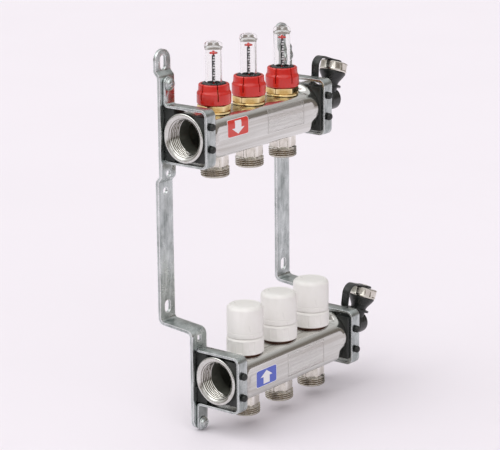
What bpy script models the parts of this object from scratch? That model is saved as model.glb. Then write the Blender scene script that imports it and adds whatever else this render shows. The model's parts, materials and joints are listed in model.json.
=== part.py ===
"""Three-circuit underfloor heating manifold on its wall brackets.

World frame: metres, +X along the bars, -Y out of the wall, +Z up.  The origin lies on the
wall plane, midway between the two brackets and midway between the two bar axes.
The upper bar is the supply with flow meters, the lower bar is the return with valves.
Lengths called "rel" are measured from a bar's own axis.
"""
import math

import bmesh
import bpy
from mathutils import Matrix, Vector

# ---------------------------------------------------------------- driving dimensions (metres)
GAP = 0.0003                    # clearance kept between touching pieces
TRIM = 0.002                    # extra width that a rounded outline then cuts away
THROUGH = 0.2                   # depth of a cutter that must pass right through a strip
OUTLET_PITCH = 0.050
OUTLET_X = (-OUTLET_PITCH, 0.0, OUTLET_PITCH)
BAR_SPACING = 0.217             # vertical distance between the two bar axes
SUPPLY_Z = BAR_SPACING / 2
RETURN_Z = -BAR_SPACING / 2
SUPPLY_Y = -0.0303              # bar axes in front of the wall
RETURN_Y = -0.0627

BAR_RADIUS = 0.02225
BAR_FLAT = 0.016                # height of the flat top above the axis
BAR_SIDE = 0.0205               # front, back and underside, from the axis
UPPER_CORNER = 0.009
LOWER_CORNER = 0.006
BOX_END = 0.0700                # where the box section meets the round ends
BAR_HALF = 0.094                # half length, G1 ring faces included
BAR_WALL = 0.002
BORE_RADIUS = 0.0166            # G1 female thread, major radius
BORE_DEPTH = 0.015
BORE_CHAMFER = 0.0012

BRACKET_X = 0.0865
BRACKET_HALF_WIDTH = 0.010
BRACKET_THICKNESS = 0.003
BRACKET_TOP = 0.184
BRACKET_BOTTOM = -0.1595
JOGGLE = 0.004                  # the upper seat stands this far off the wall
SEAT_BEHIND_AXIS = 0.0233       # bracket front face behind each bar axis

CLAMP_HALF_WIDTH = 0.00625
CLAMP_THICKNESS = 0.0022
CLAMP_FRONT = 0.0236            # inner faces, rel
CLAMP_LEG_SIDE = 0.025
CLAMP_HOOK_SIDE = 0.0232
CLAMP_LEG_END = 0.052
SCREW_HEIGHT = 0.0453           # screw axis, rel
HOOK_HALF_WIDTH = 0.0035

STUD_HEIGHTS = (0.0122, -0.0078)  # rubber studs, positive towards the screwed leg
STUD_RADIUS = 0.0029
INSERT_INNER_X = 0.077
INSERT_OUTER_X = 0.091
INSERT_FRONT_HEIGHT = 0.0205    # the front half stays clear of the strip above and below

OUTLET_END = -0.0412            # bottom of the G3/4 thread, rel
THREAD_RADIUS = 0.0132
THREAD_TOP = -0.0325
OUTLET_BORE = 0.0075
SPIGOT_RADIUS = 0.0089
HEX_RADIUS = 0.0126
HEX_CORNER = math.radians(13)     # direction of one corner, from +X

PORT_RADIUS = 0.0107            # holes in the flat top
METER_RADIUS = 0.0153           # over the corners of its hexagon
FLANGE_RADIUS = 0.0149
NECK_RADIUS = 0.0109
GLASS_RADIUS = 0.0075
GLASS_TOP = 0.0801
COLLAR_BOTTOM = 0.0246
COLLAR_TOP = 0.0426
COLLAR_TURNS = (53, 18, 13)     # degrees, each collar as it was last pushed home

WHEEL_RADIUS = 0.0166
WHEEL_BOTTOM = 0.0330
WHEEL_TOP = 0.0617
NUT_RADIUS = 0.0171
PIN_HEAD_Z = 0.0425

DRUM_START = 0.116              # drain unit: swivel drum along the bar axis
DRUM_END = 0.131
DRUM_RADIUS = 0.0104
SPOUT_X = 0.120                 # where the spout axis crosses the bar axis
SPOUT_TILT = math.radians(20)   # leans outwards
DRAIN_TURNS = {"upper": 0.0, "lower": math.radians(6)}    # about the bar axis
CAP_BOTTOM = 0.0275             # along the spout axis
CAP_TOP = 0.0365
CAP_RADIUS = 0.0133

# ---------------------------------------------------------------- scene set-up
for old in list(bpy.data.objects):
    bpy.data.objects.remove(old, do_unlink=True)

PARTS = bpy.data.collections.new("heating_manifold")
CUTTERS = bpy.data.collections.new("cutters")
for collection in (PARTS, CUTTERS):
    bpy.context.scene.collection.children.link(collection)


def material(name, colour, roughness, metallic=0.0, transmission=0.0):
    """One Principled material."""
    made = bpy.data.materials.new(name)
    made.use_nodes = True
    shader = made.node_tree.nodes["Principled BSDF"]
    shader.inputs["Base Color"].default_value = (*colour, 1.0)
    shader.inputs["Roughness"].default_value = roughness
    shader.inputs["Metallic"].default_value = metallic
    shader.inputs["Transmission Weight"].default_value = transmission
    return made


ZINC = material("zinc_plated_steel", (0.55, 0.58, 0.60), 0.35, 1.0)
STAINLESS = material("stainless_steel", (0.62, 0.60, 0.57), 0.28, 1.0)
NICKEL = material("nickel_plated_brass", (0.66, 0.60, 0.53), 0.22, 1.0)
BRASS = material("brass", (0.78, 0.56, 0.22), 0.25, 1.0)
RED = material("red_plastic", (0.75, 0.04, 0.03), 0.35)
GLASS = material("clear_plastic", (0.95, 0.96, 0.96), 0.05, 0.0, 0.9)
WHITE = material("white_plastic", (0.85, 0.83, 0.79), 0.4)
BLACK = material("black_plastic", (0.02, 0.02, 0.02), 0.4)
RUBBER = material("black_rubber", (0.015, 0.015, 0.015), 0.7)
SPRING = material("spring_steel", (0.45, 0.45, 0.45), 0.3, 1.0)


# ---------------------------------------------------------------- modelling helpers
def add(name, mesh, finish=None):
    """Link a mesh as a part, or as a hidden cutter when it has no finish."""
    made = bpy.data.objects.new(name, mesh)
    if finish is None:
        CUTTERS.objects.link(made)
        made.hide_render = True
        made.display_type = "WIRE"
    else:
        PARTS.objects.link(made)
        mesh.materials.clear()
        mesh.materials.append(finish)
    return made


def evaluated_mesh(source, name):
    """The mesh of an object as the viewport shows it, with loose caps welded."""
    bpy.context.view_layer.update()
    graph = bpy.context.evaluated_depsgraph_get()
    mesh = bpy.data.meshes.new_from_object(source.evaluated_get(graph), depsgraph=graph)
    mesh.name = name
    work = bmesh.new()
    work.from_mesh(mesh)
    bmesh.ops.remove_doubles(work, verts=work.verts, dist=1e-6)
    bmesh.ops.recalc_face_normals(work, faces=work.faces)
    work.to_mesh(mesh)
    work.free()
    return mesh


def arc(centre, radius, start, end, count):
    """Points on an arc, angles in degrees, both ends included."""
    angles = [math.radians(start + (end - start) * i / count) for i in range(count + 1)]
    return [(centre[0] + radius * math.cos(a), centre[1] + radius * math.sin(a)) for a in angles]


def stadium(half_width, low, high, count=6):
    """An upright slot outline with round ends."""
    top = arc((0, high - half_width), half_width, 0, 180, count)
    bottom = arc((0, low + half_width), half_width, 180, 360, count)
    return top + bottom


def rounded_path(corners, count=4):
    """Centreline through (y, z, radius) corners, each replaced by an arc."""
    points = [Vector(corners[0][:2])]
    for before, here, after in zip(corners, corners[1:], corners[2:]):
        corner = Vector(here[:2])
        back = (Vector(before[:2]) - corner).normalized()
        ahead = (Vector(after[:2]) - corner).normalized()
        half = back.angle(ahead) / 2
        reach = here[2] / math.tan(half)
        centre = corner + (back + ahead).normalized() * here[2] / math.sin(half)
        first = corner + back * reach - centre
        last = corner + ahead * reach - centre
        for i in range(count + 1):
            points.append(centre + first.lerp(last, i / count).normalized() * here[2])
    points.append(Vector(corners[-1][:2]))
    return points


def ribbon(corners, thickness, count=4):
    """Closed outline of a strip bent along rounded corners."""
    path = rounded_path(corners, count)
    left, right = [], []
    for i, point in enumerate(path):
        ahead = path[min(i + 1, len(path) - 1)] - point
        behind = point - path[max(i - 1, 0)]
        directions = [d.normalized() for d in (ahead, behind) if d.length > 1e-9]
        along = sum(directions, Vector((0, 0))).normalized()
        spread = thickness / 2 / max(along.dot(directions[0]), 0.5)
        side = Vector((-along.y, along.x)) * spread
        left.append(tuple(point + side))
        right.append(tuple(point - side))
    return left + right[::-1]


UPRIGHT = Matrix.Rotation(math.radians(90), 4, "X")            # outline (x, z), depth along Y
SIDEWAYS = Matrix(((0, 0, 1, 0), (1, 0, 0, 0), (0, 1, 0, 0), (0, 0, 0, 1)))  # outline (y, z)


def plate(name, outline, thickness, facing, centre=(0, 0, 0), finish=None):
    """A flat outline extruded by its thickness, turned to face a direction."""
    data = bpy.data.curves.new(name, "CURVE")
    data.dimensions = "2D"
    data.fill_mode = "BOTH"
    data.extrude = thickness / 2
    spline = data.splines.new("POLY")
    spline.points.add(len(outline) - 1)
    for point, (across, up) in zip(spline.points, outline):
        point.co = (across, up, 0, 1)
    spline.use_cyclic_u = True
    guide = bpy.data.objects.new(name + "_outline", data)
    CUTTERS.objects.link(guide)
    mesh = evaluated_mesh(guide, name)
    bpy.data.objects.remove(guide)
    mesh.transform(Matrix.Translation(centre) @ facing)
    return add(name, mesh, finish)


def turned(name, profile, finish=None, steps=20, hollow=False):
    """Turn a profile of (radius, z) points round Z; it runs down the outer side.

    A hollow profile is a closed loop that stays off the axis.
    """
    mesh = bpy.data.meshes.new(name)
    edges = [(i, i + 1) for i in range(len(profile) - 1)]
    if hollow:
        edges.append((len(profile) - 1, 0))
    mesh.from_pydata([(r, 0, z) for r, z in profile], edges, [])
    made = add(name, mesh, finish)
    screw = made.modifiers.new("turn", "SCREW")
    screw.steps = steps
    screw.render_steps = steps
    screw.use_merge_vertices = True
    screw.merge_threshold = 0.00001
    return made


def box(name, low, high):
    """A cutter block between two corners."""
    mesh = bpy.data.meshes.new(name)
    work = bmesh.new()
    bmesh.ops.create_cube(work, size=1)
    size = Vector(high) - Vector(low)
    bmesh.ops.scale(work, vec=size, verts=work.verts)
    bmesh.ops.translate(work, vec=Vector(low) + size / 2, verts=work.verts)
    work.to_mesh(mesh)
    work.free()
    return add(name, mesh)


def cylinder(name, radius, start, end, steps=16):
    """A solid cylinder between two points, used as a cutter or to be joined on."""
    mesh = bpy.data.meshes.new(name)
    work = bmesh.new()
    along = Vector(end) - Vector(start)
    bmesh.ops.create_cone(work, cap_ends=True, segments=steps, radius1=radius, radius2=radius,
                          depth=along.length)
    aim = along.to_track_quat("Z", "Y").to_matrix().to_4x4()
    place = Matrix.Translation(Vector(start) + along / 2) @ aim
    bmesh.ops.transform(work, matrix=place, verts=work.verts)
    work.to_mesh(mesh)
    work.free()
    return add(name, mesh)


def finish_part(made, finish):
    """Turn a helper solid into a visible part."""
    CUTTERS.objects.unlink(made)
    PARTS.objects.link(made)
    made.hide_render = False
    made.display_type = "TEXTURED"
    made.data.materials.append(finish)


def combine(target, operation, *tools):
    """Cut, join or keep the overlap of the target with each tool."""
    for tool in tools:
        step = target.modifiers.new(tool.name, "BOOLEAN")
        step.operation = operation
        step.object = tool
        step.solver = "EXACT"


def shade(mesh):
    """Smooth round faces, crisp edges."""
    mesh.shade_smooth()
    mesh.set_sharp_from_angle(angle=math.radians(35))


def bake(made):
    """Apply an object's modifiers to a mesh of its own."""
    name = made.name
    finish = made.data.materials[0]
    mesh = evaluated_mesh(made, name)
    made.modifiers.clear()
    made.data = mesh
    mesh.materials.clear()
    mesh.materials.append(finish)
    shade(mesh)
    return made


def copy_to(source, name, location, rotation=(0, 0, 0), parent=None):
    """Another object with the same mesh, placed by its own location."""
    made = bpy.data.objects.new(name, source.data)
    PARTS.objects.link(made)
    made.location = location
    made.rotation_euler = rotation
    made.parent = parent
    return made


def empty(name, location, rotation=(0, 0, 0)):
    """A frame that pieces hang from."""
    made = bpy.data.objects.new(name, None)
    PARTS.objects.link(made)
    made.location = location
    made.rotation_euler = rotation
    return made


# ---------------------------------------------------------------- bars
def bar_section(inset):
    """Box section with broad upper and tight lower corners, in (y, z)."""
    half = BAR_SIDE - inset
    top = BAR_FLAT - inset
    broad = UPPER_CORNER - inset
    tight = LOWER_CORNER - inset
    return (arc((half - broad, top - broad), broad, 0, 90, 6)
            + arc((broad - half, top - broad), broad, 90, 180, 6)
            + arc((tight - half, tight - half), tight, 180, 270, 4)
            + arc((half - tight, tight - half), tight, 270, 360, 4))


def bar(name, axis_y, axis_z):
    """A stainless tube, box-shaped between its round threaded ends, with six ports."""
    tube = cylinder(name, BAR_RADIUS, (-BAR_HALF, 0, 0), (BAR_HALF, 0, 0), 36)
    finish_part(tube, STAINLESS)
    inner_half = BAR_HALF - BORE_DEPTH
    combine(tube, "DIFFERENCE",
            cylinder(name + "_waist", BAR_RADIUS + 0.01, (-BOX_END, 0, 0), (BOX_END, 0, 0), 36))
    combine(tube, "UNION",
            plate(name + "_box", bar_section(0), 2 * BOX_END + 0.0004, SIDEWAYS))
    tools = [
        plate(name + "_hollow", bar_section(BAR_WALL), 2 * (BOX_END - BAR_WALL), SIDEWAYS),
        cylinder(name + "_throat", BORE_RADIUS, (-inner_half, 0, 0), (inner_half, 0, 0), 24)]
    for side in (-1, 1):
        bore = turned(name + "_bore", [
            (0, BAR_HALF + 0.001), (BORE_RADIUS + BORE_CHAMFER, BAR_HALF + 0.001),
            (BORE_RADIUS + BORE_CHAMFER, BAR_HALF), (BORE_RADIUS, BAR_HALF - BORE_CHAMFER),
            (BORE_RADIUS, inner_half - 0.001), (0, inner_half - 0.001)], steps=24)
        bore.rotation_euler = (0, side * math.pi / 2, 0)
        tools.append(bore)
    for x in OUTLET_X:
        tools.append(cylinder(name + "_top_port", PORT_RADIUS, (x, 0, 0.010), (x, 0, 0.025)))
        tools.append(cylinder(name + "_low_port", SPIGOT_RADIUS + GAP,
                              (x, 0, -0.010), (x, 0, -0.025)))
    combine(tube, "DIFFERENCE", *tools)
    bake(tube)
    tube.location = (0, axis_y, axis_z)


bar("supply_bar", SUPPLY_Y, SUPPLY_Z)
bar("return_bar", RETURN_Y, RETURN_Z)


# ---------------------------------------------------------------- outlets
def hexagonal(name, radius, low, high):
    """Hexagonal prism round Z, turned as the spanner left it."""
    prism = cylinder(name, radius, (0, 0, low), (0, 0, high), 6)
    first_corner = math.radians(30)
    prism.data.transform(Matrix.Rotation(HEX_CORNER - first_corner, 4, "Z"))
    return prism


def outlet_nipple():
    """Hexagon neck against the bar, a spigot into it and a G3/4 end below."""
    hexagon = hexagonal("outlet_nipple", HEX_RADIUS, THREAD_TOP, -BAR_SIDE - GAP)
    finish_part(hexagon, NICKEL)
    combine(hexagon, "UNION", turned("nipple_core", [
        (0, -0.0188), (SPIGOT_RADIUS, -0.0188), (SPIGOT_RADIUS, THREAD_TOP + 0.0002),
        (THREAD_RADIUS, THREAD_TOP - 0.0006), (THREAD_RADIUS, OUTLET_END + 0.0008),
        (THREAD_RADIUS - 0.0008, OUTLET_END), (0, OUTLET_END)]))
    combine(hexagon, "DIFFERENCE",
            cylinder("nipple_bore", OUTLET_BORE, (0, 0, -0.01), (0, 0, -0.05)))
    return bake(hexagon)


def place_on_outlets(source, stem, axis_y, axis_z, turns=(0, 0, 0)):
    """One copy of a piece on each outlet of a bar, numbered from the left, turned in degrees."""
    for i, x in enumerate(OUTLET_X):
        copy_to(source, f"{stem}_{i + 1}", (x, axis_y, axis_z), (0, 0, math.radians(turns[i])))


nipple = outlet_nipple()
place_on_outlets(nipple, "supply_outlet", SUPPLY_Y, SUPPLY_Z)
place_on_outlets(nipple, "return_outlet", RETURN_Y, RETURN_Z)
bpy.data.objects.remove(nipple)


# ---------------------------------------------------------------- flow meters on the supply bar
def meter_body():
    """Brass body screwed into the bar: round flange, hexagon and a smooth neck."""
    bore = GLASS_RADIUS + 0.0004
    seat = BAR_FLAT + GAP
    flange_top = 0.0183
    body = turned("meter_body", [
        (0, 0.0379), (NECK_RADIUS, 0.0379), (NECK_RADIUS, flange_top),
        (FLANGE_RADIUS, flange_top), (FLANGE_RADIUS, seat),
        (PORT_RADIUS - GAP, seat), (PORT_RADIUS - GAP, 0.006), (0, 0.006)], BRASS)
    combine(body, "UNION", hexagonal("meter_hexagon", METER_RADIUS, flange_top - GAP, COLLAR_BOTTOM - GAP))
    combine(body, "DIFFERENCE", cylinder("meter_bore", bore, (0, 0, 0), (0, 0, 0.05), 20))
    return bake(body)


def locking_collar():
    """Red collar, wider below, split into six spring fingers."""
    collar = turned("locking_collar", [
        (0.0113, COLLAR_TOP), (0.0136, COLLAR_TOP), (0.0141, 0.0362), (0.0155, 0.0343),
        (0.0155, COLLAR_BOTTOM + 0.0010), (0.0149, COLLAR_BOTTOM), (0.0113, COLLAR_BOTTOM)],
        RED, hollow=True)
    for i in range(3):
        slot = box(f"collar_slot_{i}", (-0.02, -0.0006, 0.0285), (0.02, 0.0006, 0.05))
        slot.rotation_euler = (0, 0, math.radians(60 * i))
        combine(collar, "DIFFERENCE", slot)
    return bake(collar)


def regulating_ring():
    """Black ring that carries the glass."""
    return turned("regulating_ring", [
        (GLASS_RADIUS + GAP, 0.0436), (0.0100, 0.0436), (NECK_RADIUS, 0.0428), (NECK_RADIUS, 0.0382),
        (GLASS_RADIUS + GAP, 0.0382)], BLACK, hollow=True)


def sight_glass():
    """Clear tube, closed by a slightly wider dome and open below."""
    wall = 0.0014
    return turned("sight_glass", [
        (0, GLASS_TOP), (0.0055, GLASS_TOP - 0.0004), (0.0081, GLASS_TOP - 0.0028), (0.0081, 0.0745),
        (GLASS_RADIUS, 0.0730), (GLASS_RADIUS, 0.031), (GLASS_RADIUS - wall, 0.031),
        (GLASS_RADIUS - wall, GLASS_TOP - 0.0040), (0, GLASS_TOP - 0.0020)], GLASS, steps=16)


def indicator():
    """Thin rod with the red disc in the glass and the flow plate in the bar."""
    return turned("indicator", [
        (0, 0.0730), (0.0009, 0.0730), (0.0009, 0.0705), (0.0038, 0.0705), (0.0038, 0.0691),
        (0.0009, 0.0691), (0.0009, -0.0060), (0.0050, -0.0060), (0.0050, -0.0075), (0, -0.0075)],
        RED, steps=12)


collar_piece = locking_collar()
place_on_outlets(collar_piece, "locking_collar", SUPPLY_Y, SUPPLY_Z, COLLAR_TURNS)
bpy.data.objects.remove(collar_piece)
meter_pieces = (
    (meter_body(), "meter_body"), (regulating_ring(), "regulating_ring"),
    (sight_glass(), "sight_glass"), (indicator(), "flow_indicator"))
for piece, piece_stem in meter_pieces:
    place_on_outlets(bake(piece), piece_stem, SUPPLY_Y, SUPPLY_Z)
    bpy.data.objects.remove(piece)


# ---------------------------------------------------------------- valves on the return bar
def valve_body():
    """Brass insert with a thin visible flange and a guide for the pin."""
    seat = BAR_FLAT + GAP
    return turned("valve_body", [
        (0.0019, 0.0318), (0.0090, 0.0318), (0.0090, 0.0176), (0.0149, 0.0176),
        (0.0149, seat), (PORT_RADIUS - GAP, seat), (PORT_RADIUS - GAP, 0.006), (0.0055, 0.006),
        (0.0055, 0.020), (0.0019, 0.020)], BRASS, steps=16, hollow=True)


def ring_nut():
    """White union nut under the handwheel."""
    return turned("ring_nut", [
        (0.0093, 0.0327), (0.0155, 0.0327), (NUT_RADIUS, 0.0308), (NUT_RADIUS, 0.0179),
        (0.0093, 0.0179)], WHITE, hollow=True)


def handwheel():
    """White cap, hollow below, with a boss over the pin."""
    return turned("handwheel", [
        (0, WHEEL_TOP), (0.0146, WHEEL_TOP), (WHEEL_RADIUS, WHEEL_TOP - 0.0026),
        (WHEEL_RADIUS, WHEEL_BOTTOM), (0.0143, WHEEL_BOTTOM), (0.0143, WHEEL_TOP - 0.0025),
        (0.0040, WHEEL_TOP - 0.0025), (0.0040, PIN_HEAD_Z + GAP), (0, PIN_HEAD_Z + GAP)], WHITE)


def valve_pin():
    """Stem with a pressed head above and the closing disc above the outlet."""
    return turned("valve_pin", [
        (0, PIN_HEAD_Z), (0.0036, PIN_HEAD_Z), (0.0036, 0.0410), (0.0015, 0.0410), (0.0015, -0.0130),
        (0.0065, -0.0130), (0.0065, -0.0155), (0, -0.0155)], ZINC, steps=12)


def valve_spring():
    """Coil between the top of the insert and the head of the pin."""
    wire, radius, low, high, turns, per_turn = 0.00045, 0.0031, 0.0326, 0.0402, 4, 8
    data = bpy.data.curves.new("valve_spring", "CURVE")
    data.dimensions = "3D"
    data.bevel_depth = wire
    data.bevel_resolution = 1
    data.use_fill_caps = True
    spline = data.splines.new("POLY")
    count = turns * per_turn
    spline.points.add(count)
    for i, point in enumerate(spline.points):
        turn = 2 * math.pi * i / per_turn
        height = low + (high - low) * i / count
        point.co = (radius * math.cos(turn), radius * math.sin(turn), height, 1)
    guide = bpy.data.objects.new("spring_guide", data)
    CUTTERS.objects.link(guide)
    mesh = evaluated_mesh(guide, "valve_spring")
    bpy.data.objects.remove(guide)
    shade(mesh)
    return add("valve_spring", mesh, SPRING)


valve_pieces = (
    (bake(valve_body()), "valve_body"), (bake(ring_nut()), "ring_nut"),
    (bake(handwheel()), "handwheel"), (bake(valve_pin()), "valve_pin"),
    (valve_spring(), "valve_spring"))
for piece, piece_stem in valve_pieces:
    place_on_outlets(piece, piece_stem, RETURN_Y, RETURN_Z)
    bpy.data.objects.remove(piece)


# ---------------------------------------------------------------- wall brackets
def bracket(name, x):
    """Bent strip: wall tab, seat for the supply bar, wall run, arm out and return seat."""
    on_wall = -BRACKET_THICKNESS / 2
    upper_seat = on_wall - JOGGLE
    lower_seat = RETURN_Y + SEAT_BEHIND_AXIS + BRACKET_THICKNESS / 2
    side_view = ribbon([
        (on_wall, BRACKET_TOP + 0.001), (on_wall, 0.1645, 0.003), (upper_seat, 0.1605, 0.003),
        (upper_seat, 0.0700, 0.003), (on_wall, 0.0655, 0.003), (on_wall, -0.0643, 0.0050),
        (lower_seat, -0.0678, 0.0050), (lower_seat, BRACKET_BOTTOM - 0.001)], BRACKET_THICKNESS)
    strip = plate(name, side_view, 2 * BRACKET_HALF_WIDTH + TRIM, SIDEWAYS, finish=ZINC)
    front_view = plate(name + "_ends", stadium(BRACKET_HALF_WIDTH, BRACKET_BOTTOM, BRACKET_TOP, 10),
                       THROUGH, UPRIGHT)
    combine(strip, "INTERSECT", front_view)
    for half_width, low, high in ((0.0038, 0.1655, 0.1789), (0.0040, -0.0567, -0.0449)):
        slot = plate(name + "_slot", stadium(half_width, low, high), THROUGH, UPRIGHT)
        combine(strip, "DIFFERENCE", slot)
    for height in (0.0727, 0.0565):
        combine(strip, "DIFFERENCE", cylinder(name + "_hole", 0.0030, (0, -0.05, height),
                                              (0, 0.01, height), 12))
    hook_low, hook_high = CLAMP_HOOK_SIDE - 0.0040, CLAMP_HOOK_SIDE + CLAMP_THICKNESS + 0.0004
    half = HOOK_HALF_WIDTH + 0.0005
    windows = [(SUPPLY_Z - hook_high, SUPPLY_Z - hook_low, half),
               (RETURN_Z + hook_low, RETURN_Z + hook_high, half),
               (-0.0766, -0.0714, 0.0026)]
    for low, high, across in windows:
        combine(strip, "DIFFERENCE", box(name + "_window", (-across, -0.05, low), (across, 0.01, high)))
    screws = ((SUPPLY_Z + SCREW_HEIGHT, upper_seat), (RETURN_Z - SCREW_HEIGHT, lower_seat))
    for screw_z, seat_y in screws:
        combine(strip, "DIFFERENCE", cylinder(name + "_tapping", 0.0027, (0, seat_y - 0.004, screw_z),
                                              (0, seat_y + 0.004, screw_z), 12))
    bake(strip)
    strip.location = (x, 0, 0)


for bracket_name, bracket_x in (("bracket_left", -BRACKET_X), ("bracket_right", BRACKET_X)):
    bracket(bracket_name, bracket_x)


# ---------------------------------------------------------------- clamps, inserts and screws
def clamp():
    """Strip that hooks into the bracket, runs round the bar and ends in a screwed leg."""
    half = CLAMP_THICKNESS / 2
    leg_y = SEAT_BEHIND_AXIS - 0.0004 - half
    tail_y = SEAT_BEHIND_AXIS + BRACKET_THICKNESS + 0.0013 + half
    top, bottom = CLAMP_LEG_SIDE + half, -CLAMP_HOOK_SIDE - half
    front = -CLAMP_FRONT - half
    side_view = ribbon([
        (leg_y, CLAMP_LEG_END), (leg_y, top, 0.0035), (front, top, 0.0049), (front, bottom, 0.0049),
        (tail_y, bottom, 0.0014), (tail_y, bottom + 0.0042)], CLAMP_THICKNESS)
    strip = plate("clamp", side_view, 2 * CLAMP_HALF_WIDTH + TRIM, SIDEWAYS, finish=ZINC)
    leg_end = plate("clamp_end", stadium(CLAMP_HALF_WIDTH, -0.060, CLAMP_LEG_END), THROUGH, UPRIGHT)
    combine(strip, "INTERSECT", leg_end)
    for side in (-1, 1):
        shoulder = sorted((side * HOOK_HALF_WIDTH, side * 0.01))
        combine(strip, "DIFFERENCE", box("clamp_shoulder", (shoulder[0], SEAT_BEHIND_AXIS - 0.0025, -0.035),
                                         (shoulder[1], 0.05, -0.010)))
    for height in STUD_HEIGHTS:
        combine(strip, "DIFFERENCE", cylinder("stud_hole", STUD_RADIUS + GAP,
                                              (0, -0.03, height), (0, -0.02, height), 12))
    combine(strip, "DIFFERENCE", cylinder("screw_hole", 0.0029, (0, 0.015, SCREW_HEIGHT),
                                          (0, 0.030, SCREW_HEIGHT), 12))
    return bake(strip)


def rubber_insert(side, leg):
    """Rubber block round the bar, relieved in front, with two studs through the clamp."""
    front, back = -CLAMP_FRONT + GAP, SEAT_BEHIND_AXIS - GAP
    reach = (CLAMP_LEG_SIDE - GAP, CLAMP_HOOK_SIDE - GAP)
    high, low = (reach[0], -reach[1]) if leg > 0 else (reach[1], -reach[0])
    corner = 0.0036
    outline = (arc((back - 0.001, high - 0.001), 0.001, 0, 90, 2)
               + arc((front + corner, high - corner), corner, 90, 180, 5)
               + arc((front + corner, low + corner), corner, 180, 270, 5)
               + arc((back - 0.001, low + 0.001), 0.001, 270, 360, 2))
    width = INSERT_OUTER_X - INSERT_INNER_X
    middle = (INSERT_INNER_X + INSERT_OUTER_X) / 2 - BRACKET_X
    block = plate("rubber_insert", outline, width, SIDEWAYS, (side * middle, 0, 0), RUBBER)
    combine(block, "DIFFERENCE",
            cylinder("insert_hole", BAR_RADIUS + GAP, (-0.03, 0, 0), (0.03, 0, 0), 36))
    bridge = BAR_RADIUS + 0.00075
    for height, depth in ((INSERT_FRONT_HEIGHT, -0.010), (bridge, 0.012)):
        for end in (1, -1):
            low, high = sorted((end * height, end * 0.03))
            relief = box("insert_relief", (-0.02, -0.03, low), (0.02, depth, high))
            combine(block, "DIFFERENCE", relief)
    outer_face = CLAMP_FRONT + CLAMP_THICKNESS
    wall = CLAMP_FRONT - GAP - 0.0004
    for height in STUD_HEIGHTS:
        stud = turned("stud", [
            (0, outer_face + 0.0040), (0.0026, outer_face + 0.0034), (0.0034, outer_face + 0.0018),
            (STUD_RADIUS, outer_face + GAP), (STUD_RADIUS, wall), (0, wall)], steps=10)
        stud.location = (0, 0, leg * height)
        stud.rotation_euler = (math.pi / 2, 0, 0)
        combine(block, "UNION", stud)
    return bake(block)


def pan_screw():
    """Pan head with a shank through the leg into the bracket."""
    seat = SEAT_BEHIND_AXIS - 0.0004 - CLAMP_THICKNESS - GAP
    return bake(turned("pan_screw", [
        (0, -seat + 0.0038), (0.0044, -seat + 0.0029), (0.0060, -seat + 0.0010), (0.0060, -seat),
        (0.0024, -seat), (0.0024, -0.0311), (0, -0.0311)], ZINC, steps=16))


clamp_piece = clamp()
screw_piece = pan_screw()
for side_name, side in (("left", -1), ("right", 1)):
    for level, axis_y, axis_z, leg in (("upper", SUPPLY_Y, SUPPLY_Z, 1),
                                       ("lower", RETURN_Y, RETURN_Z, -1)):
        place = (side * BRACKET_X, axis_y, axis_z)
        tag = f"{level}_{side_name}"
        copy_to(clamp_piece, "clamp_" + tag, place, (0, 0 if leg == 1 else math.pi, 0))
        screw_place = (place[0], place[1], place[2] + leg * SCREW_HEIGHT)
        copy_to(screw_piece, "clamp_screw_" + tag, screw_place, (math.pi / 2, 0, 0))
        insert = rubber_insert(side, leg)
        insert.name = "rubber_insert_" + tag
        insert.location = place
bpy.data.objects.remove(clamp_piece)
bpy.data.objects.remove(screw_piece)


# ---------------------------------------------------------------- drain units
def end_plug():
    """Plated plug: G1 thread in the bar, hexagon, and a neck the drain swivels on."""
    hexagon = cylinder("end_plug", 0.0200, (0, 0, BAR_HALF + GAP), (0, 0, BAR_HALF + 0.0065), 6)
    finish_part(hexagon, NICKEL)
    thread_end = BAR_HALF - BORE_DEPTH + 0.0010
    combine(hexagon, "UNION", turned("plug_core", [
        (0, DRUM_START + 0.0080), (0.0070, DRUM_START + 0.0080), (0.0070, DRUM_START - GAP),
        (0.0092, DRUM_START - GAP), (0.0092, BAR_HALF + 0.0050),
        (BORE_RADIUS - GAP, BAR_HALF + 0.0050),
        (BORE_RADIUS - GAP, thread_end), (0, thread_end)]))
    combine(hexagon, "DIFFERENCE", cylinder("plug_bore", 0.0050, (0, 0, 0.05), (0, 0, 0.15), 16))
    return bake(hexagon)


def spout_frame():
    """Matrix from the spout's own frame (+Z along the spout) to the bar's."""
    return Matrix.Translation((SPOUT_X, 0, 0)) @ Matrix.Rotation(SPOUT_TILT, 4, "Y")


def drain_spout():
    """Black swivel drum with a flared spout leaning outwards."""
    drum = turned("drain_spout", [
        (0, DRUM_END), (0.0086, DRUM_END), (DRUM_RADIUS, DRUM_END - 0.0018),
        (DRUM_RADIUS, DRUM_START + 0.0006), (DRUM_RADIUS - 0.0006, DRUM_START), (0, DRUM_START)], BLACK)
    drum = bake(drum)
    drum.data.transform(Matrix.Rotation(math.pi / 2, 4, "Y"))
    spout = turned("spout", [
        (0, 0.0337), (0.0112, 0.0337), (0.0118, 0.0330), (0.0118, CAP_BOTTOM - 0.0001),
        (0.0126, CAP_BOTTOM - 0.0004), (0.0126, CAP_BOTTOM - 0.0014), (0.0074, 0.0175), (0.0074, 0.0075),
        (0, 0.0075)])
    spout.matrix_world = spout_frame()
    socket = cylinder("swivel_socket", 0.0073, (DRUM_START - 0.005, 0, 0),
                      (DRUM_START + 0.0090, 0, 0))
    bore_low = spout_frame() @ Vector((0, 0, 0.0020))
    bore_high = spout_frame() @ Vector((0, 0, 0.0400))
    combine(drum, "UNION", spout)
    combine(drum, "DIFFERENCE", socket, cylinder("spout_bore", 0.0045, bore_low, bore_high))
    return bake(drum)


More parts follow.
